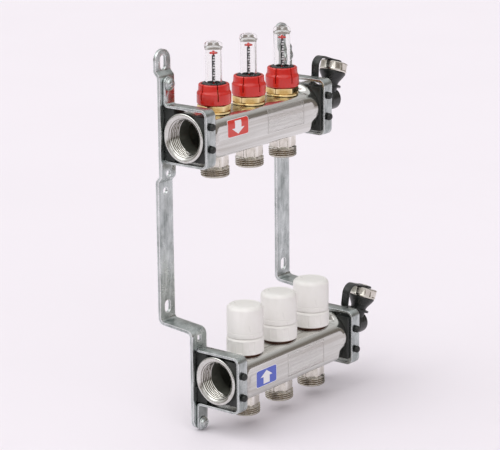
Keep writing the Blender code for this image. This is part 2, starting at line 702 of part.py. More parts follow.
def spout_cap():
    """Plated cap over the spout, with a button that holds the strap."""
    cap = turned("spout_cap", [
        (0, CAP_TOP + 0.0026), (0.0026, CAP_TOP + 0.0026), (0.0026, CAP_TOP),
        (CAP_RADIUS - 0.0010, CAP_TOP), (CAP_RADIUS, CAP_TOP - 0.0010),
        (CAP_RADIUS, CAP_BOTTOM + 0.0006), (CAP_RADIUS - 0.0006, CAP_BOTTOM),
        (0.0121, CAP_BOTTOM), (0.0121, CAP_TOP - 0.0024), (0, CAP_TOP - 0.0024)], NICKEL)
    return bake(cap)


def cap_strap():
    """Moulded strap: a ring on the spout's neck, a loop, and an eye on the cap's button."""
    frame = spout_frame()
    ring_low, ring_high = 0.0130, 0.0150
    eye_low = CAP_TOP + GAP
    eye_high = eye_low + 0.0018
    ring = turned("cap_strap", [
        (0.0079, ring_high), (0.0106, ring_high), (0.0106, ring_low), (0.0079, ring_low)], BLACK,
        hollow=True)
    ring = bake(ring)
    ring.data.transform(frame)
    eye = turned("strap_eye", [
        (0.0030, eye_high), (0.0066, eye_high), (0.0066, eye_low), (0.0030, eye_low)], hollow=True)
    eye.matrix_world = frame
    start = frame @ Vector((-0.0088, 0, (ring_low + ring_high) / 2))
    landing = frame @ Vector((-0.0040, 0, (eye_low + eye_high) / 2))
    thickness = eye_high - eye_low - 0.0002
    loop = ribbon([
        (start.x, start.z), (0.1010, 0.0205, 0.0060), (0.1022, 0.0458, 0.0085), (landing.x, landing.z)],
        thickness, 7)
    band = plate("strap_band", loop, 0.0080, UPRIGHT)
    combine(ring, "UNION", eye, band)
    return bake(ring)


drain_pieces = ((end_plug(), "end_plug"), (drain_spout(), "drain_spout"), (spout_cap(), "spout_cap"),
                (cap_strap(), "cap_strap"))
for level, axis_y, axis_z in (("upper", SUPPLY_Y, SUPPLY_Z), ("lower", RETURN_Y, RETURN_Z)):
    axis = empty(f"drain_axis_{level}", (0, axis_y, axis_z), (DRAIN_TURNS[level], 0, 0))
    spout_axis = empty(f"spout_axis_{level}", (SPOUT_X, 0, 0), (0, SPOUT_TILT, 0))
    spout_axis.parent = axis
    for piece, piece_stem in drain_pieces:
        name = f"{piece_stem}_{level}"
        if piece_stem == "end_plug":
            copy_to(piece, name, (0, 0, 0), (0, math.pi / 2, 0), axis)
        elif piece_stem == "spout_cap":
            copy_to(piece, name, (0, 0, 0), (0, 0, 0), spout_axis)
        else:
            copy_to(piece, name, (0, 0, 0), (0, 0, 0), axis)
for piece, piece_stem in drain_pieces:
    bpy.data.objects.remove(piece)
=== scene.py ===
"""Looks of a three-circuit underfloor heating manifold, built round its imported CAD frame."""
import json
import math

import bmesh
import bpy
from mathutils import Matrix, Vector


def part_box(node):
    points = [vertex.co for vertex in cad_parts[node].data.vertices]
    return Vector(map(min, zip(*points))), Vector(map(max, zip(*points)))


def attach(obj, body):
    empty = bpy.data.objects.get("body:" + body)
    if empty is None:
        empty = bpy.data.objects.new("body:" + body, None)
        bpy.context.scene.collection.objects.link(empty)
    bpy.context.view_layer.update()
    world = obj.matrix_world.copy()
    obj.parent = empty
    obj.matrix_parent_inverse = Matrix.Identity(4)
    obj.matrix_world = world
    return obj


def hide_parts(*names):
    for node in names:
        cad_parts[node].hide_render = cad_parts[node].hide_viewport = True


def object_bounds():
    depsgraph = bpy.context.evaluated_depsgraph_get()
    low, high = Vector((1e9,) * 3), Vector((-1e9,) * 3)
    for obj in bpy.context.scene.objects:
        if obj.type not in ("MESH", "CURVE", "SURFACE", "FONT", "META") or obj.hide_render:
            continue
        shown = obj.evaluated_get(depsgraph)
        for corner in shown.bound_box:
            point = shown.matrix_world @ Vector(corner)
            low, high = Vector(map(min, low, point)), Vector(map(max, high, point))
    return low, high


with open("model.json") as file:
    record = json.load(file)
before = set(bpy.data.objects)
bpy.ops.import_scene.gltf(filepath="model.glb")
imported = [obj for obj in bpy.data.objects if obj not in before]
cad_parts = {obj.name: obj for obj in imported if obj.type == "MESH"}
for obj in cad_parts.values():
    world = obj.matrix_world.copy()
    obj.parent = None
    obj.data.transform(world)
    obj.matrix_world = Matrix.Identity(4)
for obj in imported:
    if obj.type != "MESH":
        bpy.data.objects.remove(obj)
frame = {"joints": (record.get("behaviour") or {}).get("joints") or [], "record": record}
CAD_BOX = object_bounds()

RECORD = frame["record"]
JOINTS = {joint["name"]: joint for joint in frame["joints"]}
BODY_OF = {node: body for body, nodes in RECORD["behaviour"]["bodies"].items() for node in nodes}

# ---------------------------------------------------------------- places, from the frame
_, SUPPLY_Y, SUPPLY_Z = JOINTS["drain_upper_swivel"]["pos_m"]
_, RETURN_Y, RETURN_Z = JOINTS["drain_lower_swivel"]["pos_m"]
OUTLET_X = [JOINTS[f"glass_{i}_turn"]["pos_m"][0] for i in (1, 2, 3)]
BRACKET_X = (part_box("bracket_right")[0].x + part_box("bracket_right")[1].x) / 2
LOWER_DRAIN_TURN = math.radians(6)

# ---------------------------------------------------------------- sizes in metres, most of them the CAD's
BAR_RADIUS = 0.02225
BAR_FLAT = 0.016
BAR_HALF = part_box("supply_bar")[1].x
BAR_WALL = 0.002
BAR_SIDE = 0.0205
UPPER_CORNER = 0.009
LOWER_CORNER = 0.006
BOX_END = 0.0664                         # a ramp runs from here to ROUND_START; the CAD has a step
ROUND_START = 0.0742
BORE_RADIUS = 0.0166
MOUTH_RADIUS = 0.0203
BORE_DEPTH = 0.015
PORT_RADIUS = 0.0107
LOW_PORT_RADIUS = 0.0089
GROOVE_CREST = (0.01675, 0.01725)       # radii between which painted shade darkens the bores' thread and fades out again
GROOVE_FLOOR = (0.0176, 0.0178)         # and brightens again
THREAD_PITCH_G1 = 0.002309
THREAD_PITCH_G34 = 0.001814
SEAT_BEHIND_AXIS = 0.0233
CLAMP_HALF_WIDTH = 0.00625
CLAMP_THICKNESS = 0.0022
CLAMP_FRONT = 0.0236
CLAMP_LEG_SIDE = 0.025
CLAMP_HOOK_SIDE = 0.0232
CLAMP_LEG_END = 0.052
HOOK_HALF_WIDTH = 0.0035
SCREW_HEIGHT = 0.0453
STUD_HEIGHTS = (0.0122, -0.0078)
GAP = 0.0003
HEX_TURN = math.radians(13)
CORNER_CUT = math.radians(1.3)           # half of the broken corner of a prism
COLLAR_TURNS = (53, 18, 13)
SCALE_AZIMUTH = math.radians(-142)
SPOUT_X = 0.12
SPOUT_TILT = math.radians(20)
DRUM_START = 0.116
DRUM_END = 0.131
CAP_BOTTOM = 0.0275
CAP_TOP = 0.0365
CAP_RADIUS = 0.0133

ON_BAR = Matrix.Rotation(math.pi / 2, 4, "Y")                  # a turned piece laid along +X
UPRIGHT = Matrix.Rotation(math.pi / 2, 4, "X")                 # outline (x, z), depth along Y
SIDEWAYS = Matrix(((0, 0, 1, 0), (1, 0, 0, 0), (0, 1, 0, 0), (0, 0, 0, 1)))  # outline (y, z)


# ---------------------------------------------------------------- material helpers
def add_node(tree, kind, inputs=(), **settings):
    """New shader node; inputs are (socket, value or output to join) pairs."""
    node = tree.nodes.new("ShaderNode" + kind)
    for setting, value in settings.items():
        setattr(node, setting, value)
    for socket, value in inputs:
        if isinstance(value, bpy.types.NodeSocket):
            tree.links.new(value, node.inputs[socket])
        else:
            node.inputs[socket].default_value = value
    return node


class Look:
    """A Principled material whose colour, roughness and relief come from noise."""

    def __init__(self, name, **sockets):
        self.material = bpy.data.materials.new(name)
        self.material.use_nodes = True
        self.tree = self.material.node_tree
        self.shader = self.tree.nodes["Principled BSDF"]
        for socket, value in sockets.items():
            self.shader.inputs[socket.replace("_", " ")].default_value = value
        self.coords = self.add("TexCoord").outputs["Object"]
        self.relief = []

    def add(self, kind, inputs=(), **settings):
        return add_node(self.tree, kind, inputs, **settings)

    def noise(self, scale, stretch=(1, 1, 1), detail=3.0, roughness=0.5, distortion=0.0):
        """Noise with features of about 1/scale metres, divided by stretch."""
        mapping = self.add("Mapping", [("Vector", self.coords), ("Scale", stretch)])
        return self.add("TexNoise", [
            ("Vector", mapping.outputs["Vector"]), ("Scale", scale), ("Detail", detail),
            ("Roughness", roughness), ("Distortion", distortion)]).outputs["Fac"]

    def cells(self, scale):
        """A different even grey in each cell, like crystals in a plated coat."""
        texture = self.add("TexVoronoi", [("Vector", self.coords), ("Scale", scale)])
        return self.add("SeparateColor", [("Color", texture.outputs["Color"])]).outputs["Red"]

    def apart(self, vector):
        """The three coordinates of a vector."""
        return self.add("SeparateXYZ", [("Vector", vector)]).outputs

    def remap(self, value, low, high, to_low, to_high):
        return self.add("MapRange", [
            ("Value", value), ("From Min", low), ("From Max", high), ("To Min", to_low),
            ("To Max", to_high)]).outputs["Result"]

    def product(self, first, second):
        return self.add("Math", [(0, first), (1, second)], operation="MULTIPLY").outputs[0]

    def distance(self, first, second):
        """Distance from the axis across two of the object's coordinates."""
        squares = self.add("Math", [(0, self.product(first, first)), (1, self.product(second, second))],
                           operation="ADD")
        return self.add("Math", [(0, squares.outputs[0])], operation="SQRT").outputs[0]

    def mix(self, factor, first, second):
        """Colour between first and second, each a tuple or an output."""
        colours = [(*colour, 1.0) if isinstance(colour, tuple) else colour for colour in (first, second)]
        return self.add("Mix", [("Factor", factor), (6, colours[0]), (7, colours[1])],
                        data_type="RGBA").outputs[2]

    def painted_crease_shade(self, base, dark, low=0.38, high=0.49):
        """Painted shade: a darker tone down in the grooves, where shade falls."""
        bend = self.add("NewGeometry").outputs["Pointiness"]
        return self.mix(self.remap(bend, low, high, 1.0, 0.0), base, dark)

    def painted_bend_highlight(self, base, bright, low=0.53, high=0.62):
        """Painted highlight: a brighter tone where the surface bends sharply outwards."""
        bend = self.add("NewGeometry").outputs["Pointiness"]
        return self.mix(self.remap(bend, low, high, 0.0, 1.0), base, bright)

    def painted_edge_highlight(self, base, bright, width):
        """Painted highlight: a brighter line of the given width along every sharp edge."""
        rounded = self.add("Bevel", [("Radius", width)], samples=6).outputs["Normal"]
        true = self.add("NewGeometry").outputs["Normal"]
        agreement = self.add("VectorMath", [(0, rounded), (1, true)], operation="DOT_PRODUCT")
        return self.mix(self.remap(agreement.outputs["Value"], 0.92, 0.998, 1, 0), base, bright)

    def colour(self, source):
        self.tree.links.new(source, self.shader.inputs["Base Color"])
        return self

    def rough(self, value, low, high):
        self.tree.links.new(self.remap(value, 0.3, 0.7, low, high), self.shader.inputs["Roughness"])
        return self

    def bump(self, height, distance):
        """Relief of that depth in metres; each call adds to the one before."""
        node = self.add("Bump", [("Distance", distance), ("Strength", 1.0), ("Height", height),
                                 *self.relief])
        self.relief = [("Normal", node.outputs["Normal"])]
        self.tree.links.new(node.outputs["Normal"], self.shader.inputs["Normal"])
        return self


def brushed_stainless():
    """Steel with streaks along X, painted shade in the thread grooves of the bores round X and painted
    highlights on outward bends.
    """
    look = Look("stainless_brushed", Metallic=1.0)
    streaks = look.noise(700, (0.015, 1, 1), 4, 0.6)
    fine = look.noise(3800, (0.02, 1, 1), 2)
    bands = look.noise(150, (0.03, 1, 1), 3, 0.55)
    clouds = look.noise(38, (0.6, 1, 1), 3)
    tone = look.mix(look.remap(streaks, 0.35, 0.65, 0, 1), (0.6, 0.6, 0.57), (0.74, 0.745, 0.715))
    tone = look.mix(look.remap(bands, 0.5, 0.68, 0, 0.55), tone, (0.42, 0.39, 0.345))
    tone = look.mix(look.remap(clouds, 0.4, 0.7, 0, 0.35), tone, (0.54, 0.535, 0.5))
    _, across, up = look.apart(look.coords)
    reach = look.distance(across, up)
    # painted shade: dark brown deep in the bore's thread grooves
    painted_groove_shade = look.product(look.remap(reach, *GROOVE_CREST, 0, 1),
                                look.remap(reach, *GROOVE_FLOOR, 1, 0))
    tone = look.mix(painted_groove_shade, tone, (0.1, 0.085, 0.06))
    # painted highlight on outward bends
    look.colour(look.painted_bend_highlight(tone, (0.86, 0.86, 0.84)))
    look.rough(look.noise(300, (0.05, 1, 1), 3), 0.13, 0.25)
    return look.bump(streaks, 0.000006).bump(fine, 0.000004).material


def tube_inside_painted_shade():
    """Dull steel, never polished, painted dark for the shade deep inside the tube."""
    look = Look("tube_inside_painted_shade", Metallic=0.2)
    clouds = look.noise(160, detail=4)
    look.colour(look.mix(clouds, (0.1, 0.105, 0.085), (0.2, 0.205, 0.17)))
    return look.rough(clouds, 0.45, 0.7).bump(clouds, 0.00005).material


def nickel_plate(name, threaded=False):
    """Satin nickel with painted shade in its grooves and painted highlights on outward bends; on a threaded
    piece the deep grooves round its local Z get more painted shade.
    """
    look = Look(name, Metallic=1.0)
    clouds = look.noise(240, detail=4)
    turning = look.noise(2600, (0.12, 0.12, 1), 2)
    base = look.mix(look.remap(clouds, 0.35, 0.65, 0, 1), (0.62, 0.59, 0.525), (0.78, 0.755, 0.69))
    # painted shade in the grooves
    base = look.painted_crease_shade(base, (0.2, 0.16, 0.11))
    if threaded:
        # painted shade deep in the thread's grooves
        x, y, z = look.apart(look.coords)
        low = look.remap(z, -0.0331, -0.0329, 1, 0)
        deep = look.remap(look.distance(x, y), 0.0124, 0.013, 1, 0)
        base = look.mix(look.product(low, deep), base, (0.27, 0.225, 0.16))
    # painted highlight on outward bends
    look.colour(look.painted_bend_highlight(base, (0.95, 0.94, 0.9), 0.52, 0.59))
    return look.rough(clouds, 0.14, 0.27).bump(turning, 0.000006).bump(clouds, 0.00001).material


def zinc_plate():
    """Cloudy grey coat with painted shade in its creases and painted highlights along its cut edges."""
    look = Look("zinc_plate", Metallic=1.0)
    clouds = look.noise(85, (1, 1, 0.5), 5, 0.62, 0.5)
    crystals = look.cells(330)
    scuffs = look.noise(620, (1, 1, 0.08), 4, 0.65)
    base = look.mix(look.remap(clouds, 0.36, 0.64, 0, 1), (0.31, 0.345, 0.335), (0.62, 0.665, 0.655))
    base = look.mix(look.remap(crystals, 0, 1, 0, 0.25), base, (0.66, 0.7, 0.69))
    base = look.mix(look.remap(scuffs, 0.54, 0.72, 0, 0.6), base, (0.17, 0.2, 0.19))
    # painted shade in the creases
    base = look.painted_crease_shade(base, (0.1, 0.115, 0.11), 0.4, 0.485)
    # painted highlight along the cut edges
    look.colour(look.painted_edge_highlight(base, (0.99, 1.0, 1.0), 0.0012))
    look.rough(look.noise(130, detail=4), 0.2, 0.42)
    return look.bump(clouds, 0.00009).bump(scuffs, 0.000015).material


def turned_brass():
    look = Look("turned_brass", Metallic=1.0)
    rings = look.noise(2400, (0.1, 0.1, 1), 3)
    clouds = look.noise(150, detail=4)
    base = look.mix(look.remap(clouds, 0.3, 0.7, 0, 1), (0.47, 0.3, 0.085), (0.74, 0.51, 0.2))
    base = look.mix(look.remap(rings, 0.45, 0.75, 0, 0.35), base, (0.3, 0.18, 0.045))
    # painted shade in the grooves and painted highlight on outward bends
    look.colour(look.painted_bend_highlight(look.painted_crease_shade(base, (0.12, 0.07, 0.02)), (0.97, 0.82, 0.46), 0.52, 0.6))
    return look.rough(rings, 0.12, 0.26).bump(rings, 0.00001).material


def moulded(name, first, second, rough, relief=0.00001, **sockets):
    """Moulded plastic: faint flow marks, uneven gloss, a fine grain and painted highlights on outward bends.
    """
    look = Look(name, **sockets)
    flow = look.noise(60, (1, 1, 0.5), 4, 0.55, 0.6)
    grain = look.noise(2200, detail=3)
    base = look.mix(look.remap(flow, 0.35, 0.68, 0, 1), first, second)
    # painted highlight: a lighter copy of the second colour on outward bends
    look.colour(look.painted_bend_highlight(base, tuple(min(1.0, 1.25 * c + 0.02) for c in second), 0.54, 0.66))
    return look.rough(flow, *rough).bump(grain, relief).bump(flow, 4 * relief).material


def clear_plastic():
    look = Look("clear_plastic", IOR=1.24, Transmission_Weight=1.0)
    haze = look.noise(180, (1, 1, 0.4), 3)
    look.colour(look.mix(haze, (0.995, 0.995, 0.99), (0.97, 0.97, 0.962)))
    return look.rough(haze, 0.0, 0.02).bump(haze, 0.000004).material


def clear_film():
    look = Look("clear_film", Alpha=0.07)
    wrinkles = look.noise(210, (0.5, 1, 1), 3)
    look.colour(look.mix(wrinkles, (0.86, 0.84, 0.82), (0.95, 0.94, 0.93)))
    return look.rough(wrinkles, 0.12, 0.3).bump(wrinkles, 0.00003).material


def printed(name, first, second):
    """Printing ink under a thin varnish."""
    look = Look(name, Coat_Weight=0.35)
    ink = look.noise(900, detail=4)
    look.colour(look.mix(ink, first, second))
    return look.rough(ink, 0.28, 0.42).bump(ink, 0.000008).material


def drawn_wire():
    look = Look("drawn_wire", Metallic=1.0)
    streaks = look.noise(1500, detail=3)
    look.colour(look.mix(streaks, (0.36, 0.36, 0.37), (0.55, 0.55, 0.56)))
    return look.rough(streaks, 0.25, 0.4).bump(streaks, 0.000005).material


def pale_floor():
    look = Look("pale_floor")
    cloth = look.noise(5, detail=5)
    look.colour(look.mix(cloth, (0.865, 0.82, 0.87), (0.88, 0.835, 0.885)))
    return look.rough(cloth, 0.85, 0.95).material


STAINLESS = brushed_stainless()
INSIDE = tube_inside_painted_shade()
NICKEL = nickel_plate("nickel_plate")
NICKEL_THREAD = nickel_plate("nickel_thread", True)
ZINC = zinc_plate()
BRASS = turned_brass()
RED = moulded("red_plastic", (0.6, 0.016, 0.01), (0.7, 0.034, 0.022), (0.16, 0.3), 0.000006,
              Coat_Weight=0.25, Coat_Roughness=0.1)
WHITE = moulded("white_plastic", (0.84, 0.825, 0.79), (0.89, 0.875, 0.85), (0.26, 0.4), 0.000008)
BLACK = moulded("black_plastic", (0.01, 0.012, 0.011), (0.03, 0.033, 0.031), (0.22, 0.4), 0.00002)
DARK_RING = moulded("brown_ring", (0.1, 0.035, 0.02), (0.18, 0.07, 0.03), (0.3, 0.5), 0.00001)
RUBBER = moulded("black_rubber", (0.006, 0.008, 0.007), (0.018, 0.021, 0.018), (0.34, 0.56), 0.00004)
CLEAR = clear_plastic()
FILM = clear_film()
INK = printed("black_ink", (0.012, 0.012, 0.014), (0.03, 0.03, 0.032))
CHALK = printed("white_print", (0.86, 0.85, 0.87), (0.93, 0.92, 0.94))
RED_PRINT = printed("red_print", (0.66, 0.035, 0.022), (0.74, 0.06, 0.04))
EDGE_PRINT = printed("film_edge", (0.4, 0.38, 0.36), (0.62, 0.6, 0.58))
BLUE_PRINT = printed("blue_print", (0.055, 0.1, 0.52), (0.085, 0.14, 0.62))
WIRE = drawn_wire()


# ---------------------------------------------------------------- modelling helpers
def link(name, data):
    """New object in the scene."""
    made = bpy.data.objects.new(name, data)
    bpy.context.scene.collection.objects.link(made)
    return made


def shade(mesh, degrees=32):
    """Smooth shading with edges sharper than the angle kept sharp."""
    mesh.shade_smooth()
    mesh.set_sharp_from_angle(angle=math.radians(degrees))
    return mesh


def finished(work, name, *finishes):
    """Mesh from a bmesh, which is freed, with its faces turned outwards."""
    bmesh.ops.recalc_face_normals(work, faces=work.faces)
    mesh = bpy.data.meshes.new(name)
    work.to_mesh(mesh)
    work.free()
    for finish in finishes:
        mesh.materials.append(finish)
    return mesh


def soft(points, count=3, closed=False):
    """Round the corners of a profile given as (radius, height, size of the rounding)."""
    rounded = []
    for i, (radius, height, size) in enumerate(points):
        ends = not closed and i in (0, len(points) - 1)
        if ends or size == 0:
            rounded.append((radius, height))
            continue
        corner = Vector((radius, height))
        before = Vector(points[i - 1][:2]) - corner
        after = Vector(points[(i + 1) % len(points)][:2]) - corner
        start = corner + before.normalized() * min(size, before.length * 0.49)
        end = corner + after.normalized() * min(size, after.length * 0.49)
        for k in range(count + 1):
            t = k / count
            rounded.append(tuple(start * (1 - t) ** 2 + corner * (2 * t * (1 - t)) + end * t * t))
    return rounded


def lathe(name, profile, finish, steps=72, closed=False, warp=None, second=None, in_second=None,
          angles=None, crease=32):
    """Mesh turned round Z from (radius, height) points; warp(radius, height, angle, row) bends it."""
    work = bmesh.new()
    angles = angles or [2 * math.pi * k / steps for k in range(steps)]
    steps = len(angles)
    rows = []
    for row, (radius, height) in enumerate(profile):
        if radius == 0:
            rows.append([work.verts.new((0, 0, height))])
            continue
        ring = []
        for angle in angles:
            r, z = warp(radius, height, angle, row) if warp else (radius, height)
            ring.append(work.verts.new((r * math.cos(angle), r * math.sin(angle), z)))
        rows.append(ring)
    pairs = list(zip(range(len(rows)), range(1, len(rows))))
    if closed:
        pairs.append((len(rows) - 1, 0))
    for a, b in pairs:
        first, other = rows[a], rows[b]
        for k in range(steps):
            n = (k + 1) % steps
            corners = (first[k % len(first)], first[n % len(first)],
                       other[n % len(other)], other[k % len(other)])
            face = work.faces.new(list(dict.fromkeys(corners)))
            if in_second and in_second(a):
                face.material_index = 1
    return shade(finished(work, name, finish, *([second] if second else [])), crease)


def placed(mesh, name, matrix):
    """Object whose mesh carries the turn of the matrix and whose origin carries its position."""
    turn = matrix.to_3x3().to_4x4()
    if turn != Matrix.Identity(4):
        mesh = mesh.copy()
        mesh.transform(turn)
    made = link(name, mesh)
    made.matrix_world = Matrix.Translation(matrix.translation)
    return made


def show(mesh, node, matrix=Matrix.Identity(4)):
    """A piece that stands for a CAD node and moves with its body."""
    made = placed(mesh, node + "_visual", matrix)
    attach(made, BODY_OF[node])
    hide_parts(node)
    return made


def detail(mesh, name, body, slot, matrix=Matrix.Identity(4)):
    """An extra piece on a body."""
    made = placed(mesh, name, matrix)
    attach(made, body)
    return made


def at(x, y, z):
    return Matrix.Translation((x, y, z))


def arc(centre, radius, start, end, count):
    angles = [math.radians(start + (end - start) * i / count) for i in range(count + 1)]
    return [(centre[0] + radius * math.cos(a), centre[1] + radius * math.sin(a)) for a in angles]


def stadium(half_width, low, high, count=16):
    top = arc((0, high - half_width), half_width, 0, 180, count)
    return top + arc((0, low + half_width), half_width, 180, 360, count)


def rounded_path(corners, count=10):
    points = [Vector(corners[0][:2])]
    for before, here, after in zip(corners, corners[1:], corners[2:]):
        corner = Vector(here[:2])
        back = (Vector(before[:2]) - corner).normalized()
        ahead = (Vector(after[:2]) - corner).normalized()
        half = back.angle(ahead) / 2
        reach = here[2] / math.tan(half)
        centre = corner + (back + ahead).normalized() * here[2] / math.sin(half)
        first = corner + back * reach - centre
        last = corner + ahead * reach - centre
        for i in range(count + 1):
            points.append(centre + first.lerp(last, i / count).normalized() * here[2])
    points.append(Vector(corners[-1][:2]))
    return points


def ribbon(corners, thickness, count=10):
    """Closed outline of a strip bent along rounded corners."""
    path = rounded_path(corners, count)
    left, right = [], []
    for i, point in enumerate(path):
        ahead = path[min(i + 1, len(path) - 1)] - point
        behind = point - path[max(i - 1, 0)]
        directions = [d.normalized() for d in (ahead, behind) if d.length > 1e-9]
        along = sum(directions, Vector((0, 0))).normalized()
        spread = thickness / 2 / max(along.dot(directions[0]), 0.5)
        side = Vector((-along.y, along.x)) * spread
        left.append(tuple(point + side))
        right.append(tuple(point - side))
    return left + right[::-1]


def solid(outline, depth, facing, centre=(0, 0, 0)):
    """Mesh of an outline extruded by a depth, its two faces left as single polygons."""
    work = bmesh.new()
    low = [work.verts.new((x, y, -depth / 2)) for x, y in outline]
    high = [work.verts.new((x, y, depth / 2)) for x, y in outline]
    work.faces.new(low[::-1])
    work.faces.new(high)
    for k in range(len(outline)):
        n = (k + 1) % len(outline)
        work.faces.new((low[k], low[n], high[n], high[k]))
    bmesh.ops.transform(work, matrix=Matrix.Translation(centre) @ facing, verts=work.verts)
    return finished(work, "solid")


def block(low, high):
    size = Vector(high) - Vector(low)
    middle = Vector(low) + size / 2
    x, y, z = size / 2
    return solid([(-x, -y), (x, -y), (x, y), (-x, y)], 2 * z, Matrix.Identity(4), middle)


def rod(radius, start, end, steps=32):
    along = Vector(end) - Vector(start)
    aim = along.to_track_quat("Z", "Y").to_matrix().to_4x4()
    return solid(arc((0, 0), radius, 0, 360 - 360 / steps, steps - 1), along.length, aim,
                 Vector(start) + along / 2)


def carve(mesh, steps, bevel=0.0, segments=2, finish=None, degrees=30):
    """Run boolean steps, ("DIFFERENCE" | "UNION" | "INTERSECT", mesh), then round the edges."""
    made = link("carving", mesh)
    tools = []
    for operation, tool_mesh in steps:
        tool = link("tool", tool_mesh)
        tools.append(tool)
        step = made.modifiers.new("step", "BOOLEAN")
        step.operation = operation
        step.object = tool
        step.solver = "EXACT"
    if bevel:
        rounding = made.modifiers.new("bevel", "BEVEL")
        rounding.width = bevel
        rounding.segments = segments
        rounding.limit_method = "ANGLE"
        rounding.angle_limit = math.radians(degrees)
        rounding.miter_outer = "MITER_ARC"
    bpy.context.view_layer.update()
    graph = bpy.context.evaluated_depsgraph_get()
    result = bpy.data.meshes.new_from_object(made.evaluated_get(graph), depsgraph=graph)
    for used in (made, *tools):
        bpy.data.objects.remove(used)
    work = bmesh.new()
    work.from_mesh(result)
    bmesh.ops.remove_doubles(work, verts=work.verts, dist=1e-6)
    bmesh.ops.recalc_face_normals(work, faces=work.faces)
    work.to_mesh(result)
    work.free()
    if finish:
        result.materials.clear()
        for part in result.polygons:
            part.material_index = 0
        result.materials.append(finish)
    return shade(result)


def gathered(*parts):
    """One mesh from (mesh, matrix) pairs that share a material."""
    work = bmesh.new()
    for mesh, matrix in parts:
        copy = mesh.copy()
        copy.transform(matrix)
        work.from_mesh(copy)
        bpy.data.meshes.remove(copy)
    mesh = bpy.data.meshes.new("gathered")
    work.to_mesh(mesh)
    work.free()
    mesh.materials.append(parts[0][0].materials[0])
    return shade(mesh)


def sided(angle, flat_radius, turn=HEX_TURN, sides=6):
    """Distance from the axis to a prism with slightly broken corners, at an angle."""
    half = math.pi / sides
    part = abs((angle - turn) % (2 * half) - half)
    return flat_radius / math.cos(min(part, half - CORNER_CUT))


def sided_angles(turn=HEX_TURN, sides=6, between=16):
    """Angles for a turned mesh with two close together at each corner of a prism."""
    whole = 2 * math.pi / sides
    span = whole - 2 * CORNER_CUT
    return [turn + whole * side + CORNER_CUT + span * k / between
            for side in range(sides) for k in range(between + 1)]


def hexed(name, rows, corner_radius, finish, turn=HEX_TURN):
    """Turned piece from (radius, height, kind) rows, with the rows of kind "h" cut to a hexagon."""
    flat_radius = corner_radius * math.cos(math.pi / 6)

    def warp(radius, z, angle, row):
        if rows[row][2] == "h":
            radius = min(radius, sided(angle, flat_radius, turn))
        return radius, z

    return lathe(name, [(r, z) for r, z, _ in rows], finish, closed=True, warp=warp,
                 angles=sided_angles(turn), crease=25)


def groove(height, angle, pitch):
    """Depth share, 0 to 1, of a V-shaped right-hand thread at a height and angle."""
    phase = (height / pitch - angle / (2 * math.pi)) % 1.0
    return min(1.0, 1.18 * abs(2 * phase - 1))


# ---------------------------------------------------------------- bars
def box_radius(across, up, inset=0.0):
    """Distance from the bar's axis to its box section in the direction (across, up)."""
    top = BAR_FLAT - inset if up > 0 else BAR_SIDE - inset
    corner = (UPPER_CORNER if up > 0 else LOWER_CORNER) - inset
    side = BAR_SIDE - inset
    across, up = abs(across), abs(up)
    reach = min(side / max(across, 1e-9), top / max(up, 1e-9))
    centre = (side - corner, top - corner)
    if reach * across > centre[0] and reach * up > centre[1]:
        along = across * centre[0] + up * centre[1]
        reach = along + math.sqrt(along ** 2 - centre[0] ** 2 - centre[1] ** 2 + corner ** 2)
    return reach


def bar_mesh():
    """Box-section tube that turns round before its bevelled and threaded ends."""
    inner_x = BAR_HALF - BORE_DEPTH

    def outer_end(side):
        bevel = [(BAR_HALF, 0.0013), (BAR_HALF - 0.0002, 0.0007), (BAR_HALF - 0.0006, 0.0002),
                 (BAR_HALF - 0.0012, 0.0), (ROUND_START, 0.0)]
        found = [(BAR_RADIUS - cut, side * x, None) for x, cut in bevel]
        steps = 12
        for k in range(1, steps + 1):
            t = k / steps
            x = ROUND_START - (ROUND_START - BOX_END) * t
            found.append((BAR_RADIUS, side * x, t * t * (3 - 2 * t)))
        return found

    def bore(side):
        mouth = [(MOUTH_RADIUS, 0.0), (MOUTH_RADIUS - 0.0004, 0.0001), (0.0179, 0.0014),
                 (BORE_RADIUS, 0.0024)]
        found = [(radius, side * (BAR_HALF - depth), None) for radius, depth in mouth]
        count = 60 if side < 0 else 2
        start, end = BAR_HALF - 0.0026, inner_x + 0.0004
        kind = "thread" if side < 0 else None
        for k in range(count + 1):
            found.append((BORE_RADIUS, side * (start + (end - start) * k / count), kind))
        found.append((BORE_RADIUS, side * inner_x, None))
        return found

    hollow_x = BOX_END - 0.001
    inside = [(BORE_RADIUS, -hollow_x, None), (BORE_RADIUS, -hollow_x, "hollow"),
              (BORE_RADIUS, hollow_x, "hollow"), (BORE_RADIUS, hollow_x, None)]
    rows = outer_end(-1) + outer_end(1)[::-1] + bore(1) + inside[::-1] + bore(-1)[::-1]
    first_inside = len(outer_end(-1)) * 2 + len(bore(1)) - 1

    def warp(radius, x, angle, row):
        kind = rows[row][2]
        across, up = math.sin(angle), -math.cos(angle)
        if kind == "thread":
            radius += 0.001 * groove(x, angle, THREAD_PITCH_G1)
        elif kind == "hollow":
            radius = box_radius(across, up, BAR_WALL)
        elif kind is not None:
            radius += (box_radius(across, up) - radius) * kind
        return radius, x

    tube = lathe("bar", [(r, x) for r, x, _ in rows], STAINLESS, 144, True, warp, INSIDE,
                 lambda row: first_inside <= row < first_inside + 5)
    ports = []
    for x in OUTLET_X:
        for radius, low, high in ((PORT_RADIUS, 0.01, 0.03), (LOW_PORT_RADIUS, -0.03, -0.01)):
            port = rod(radius, (x, 0, low), (x, 0, high), 64)
            port.transform(ON_BAR.inverted())
            ports.append(("DIFFERENCE", port))
    return carve(tube, ports)


BAR = bar_mesh()
show(BAR, "supply_bar", at(0, SUPPLY_Y, SUPPLY_Z) @ ON_BAR)
show(BAR, "return_bar", at(0, RETURN_Y, RETURN_Z) @ ON_BAR)


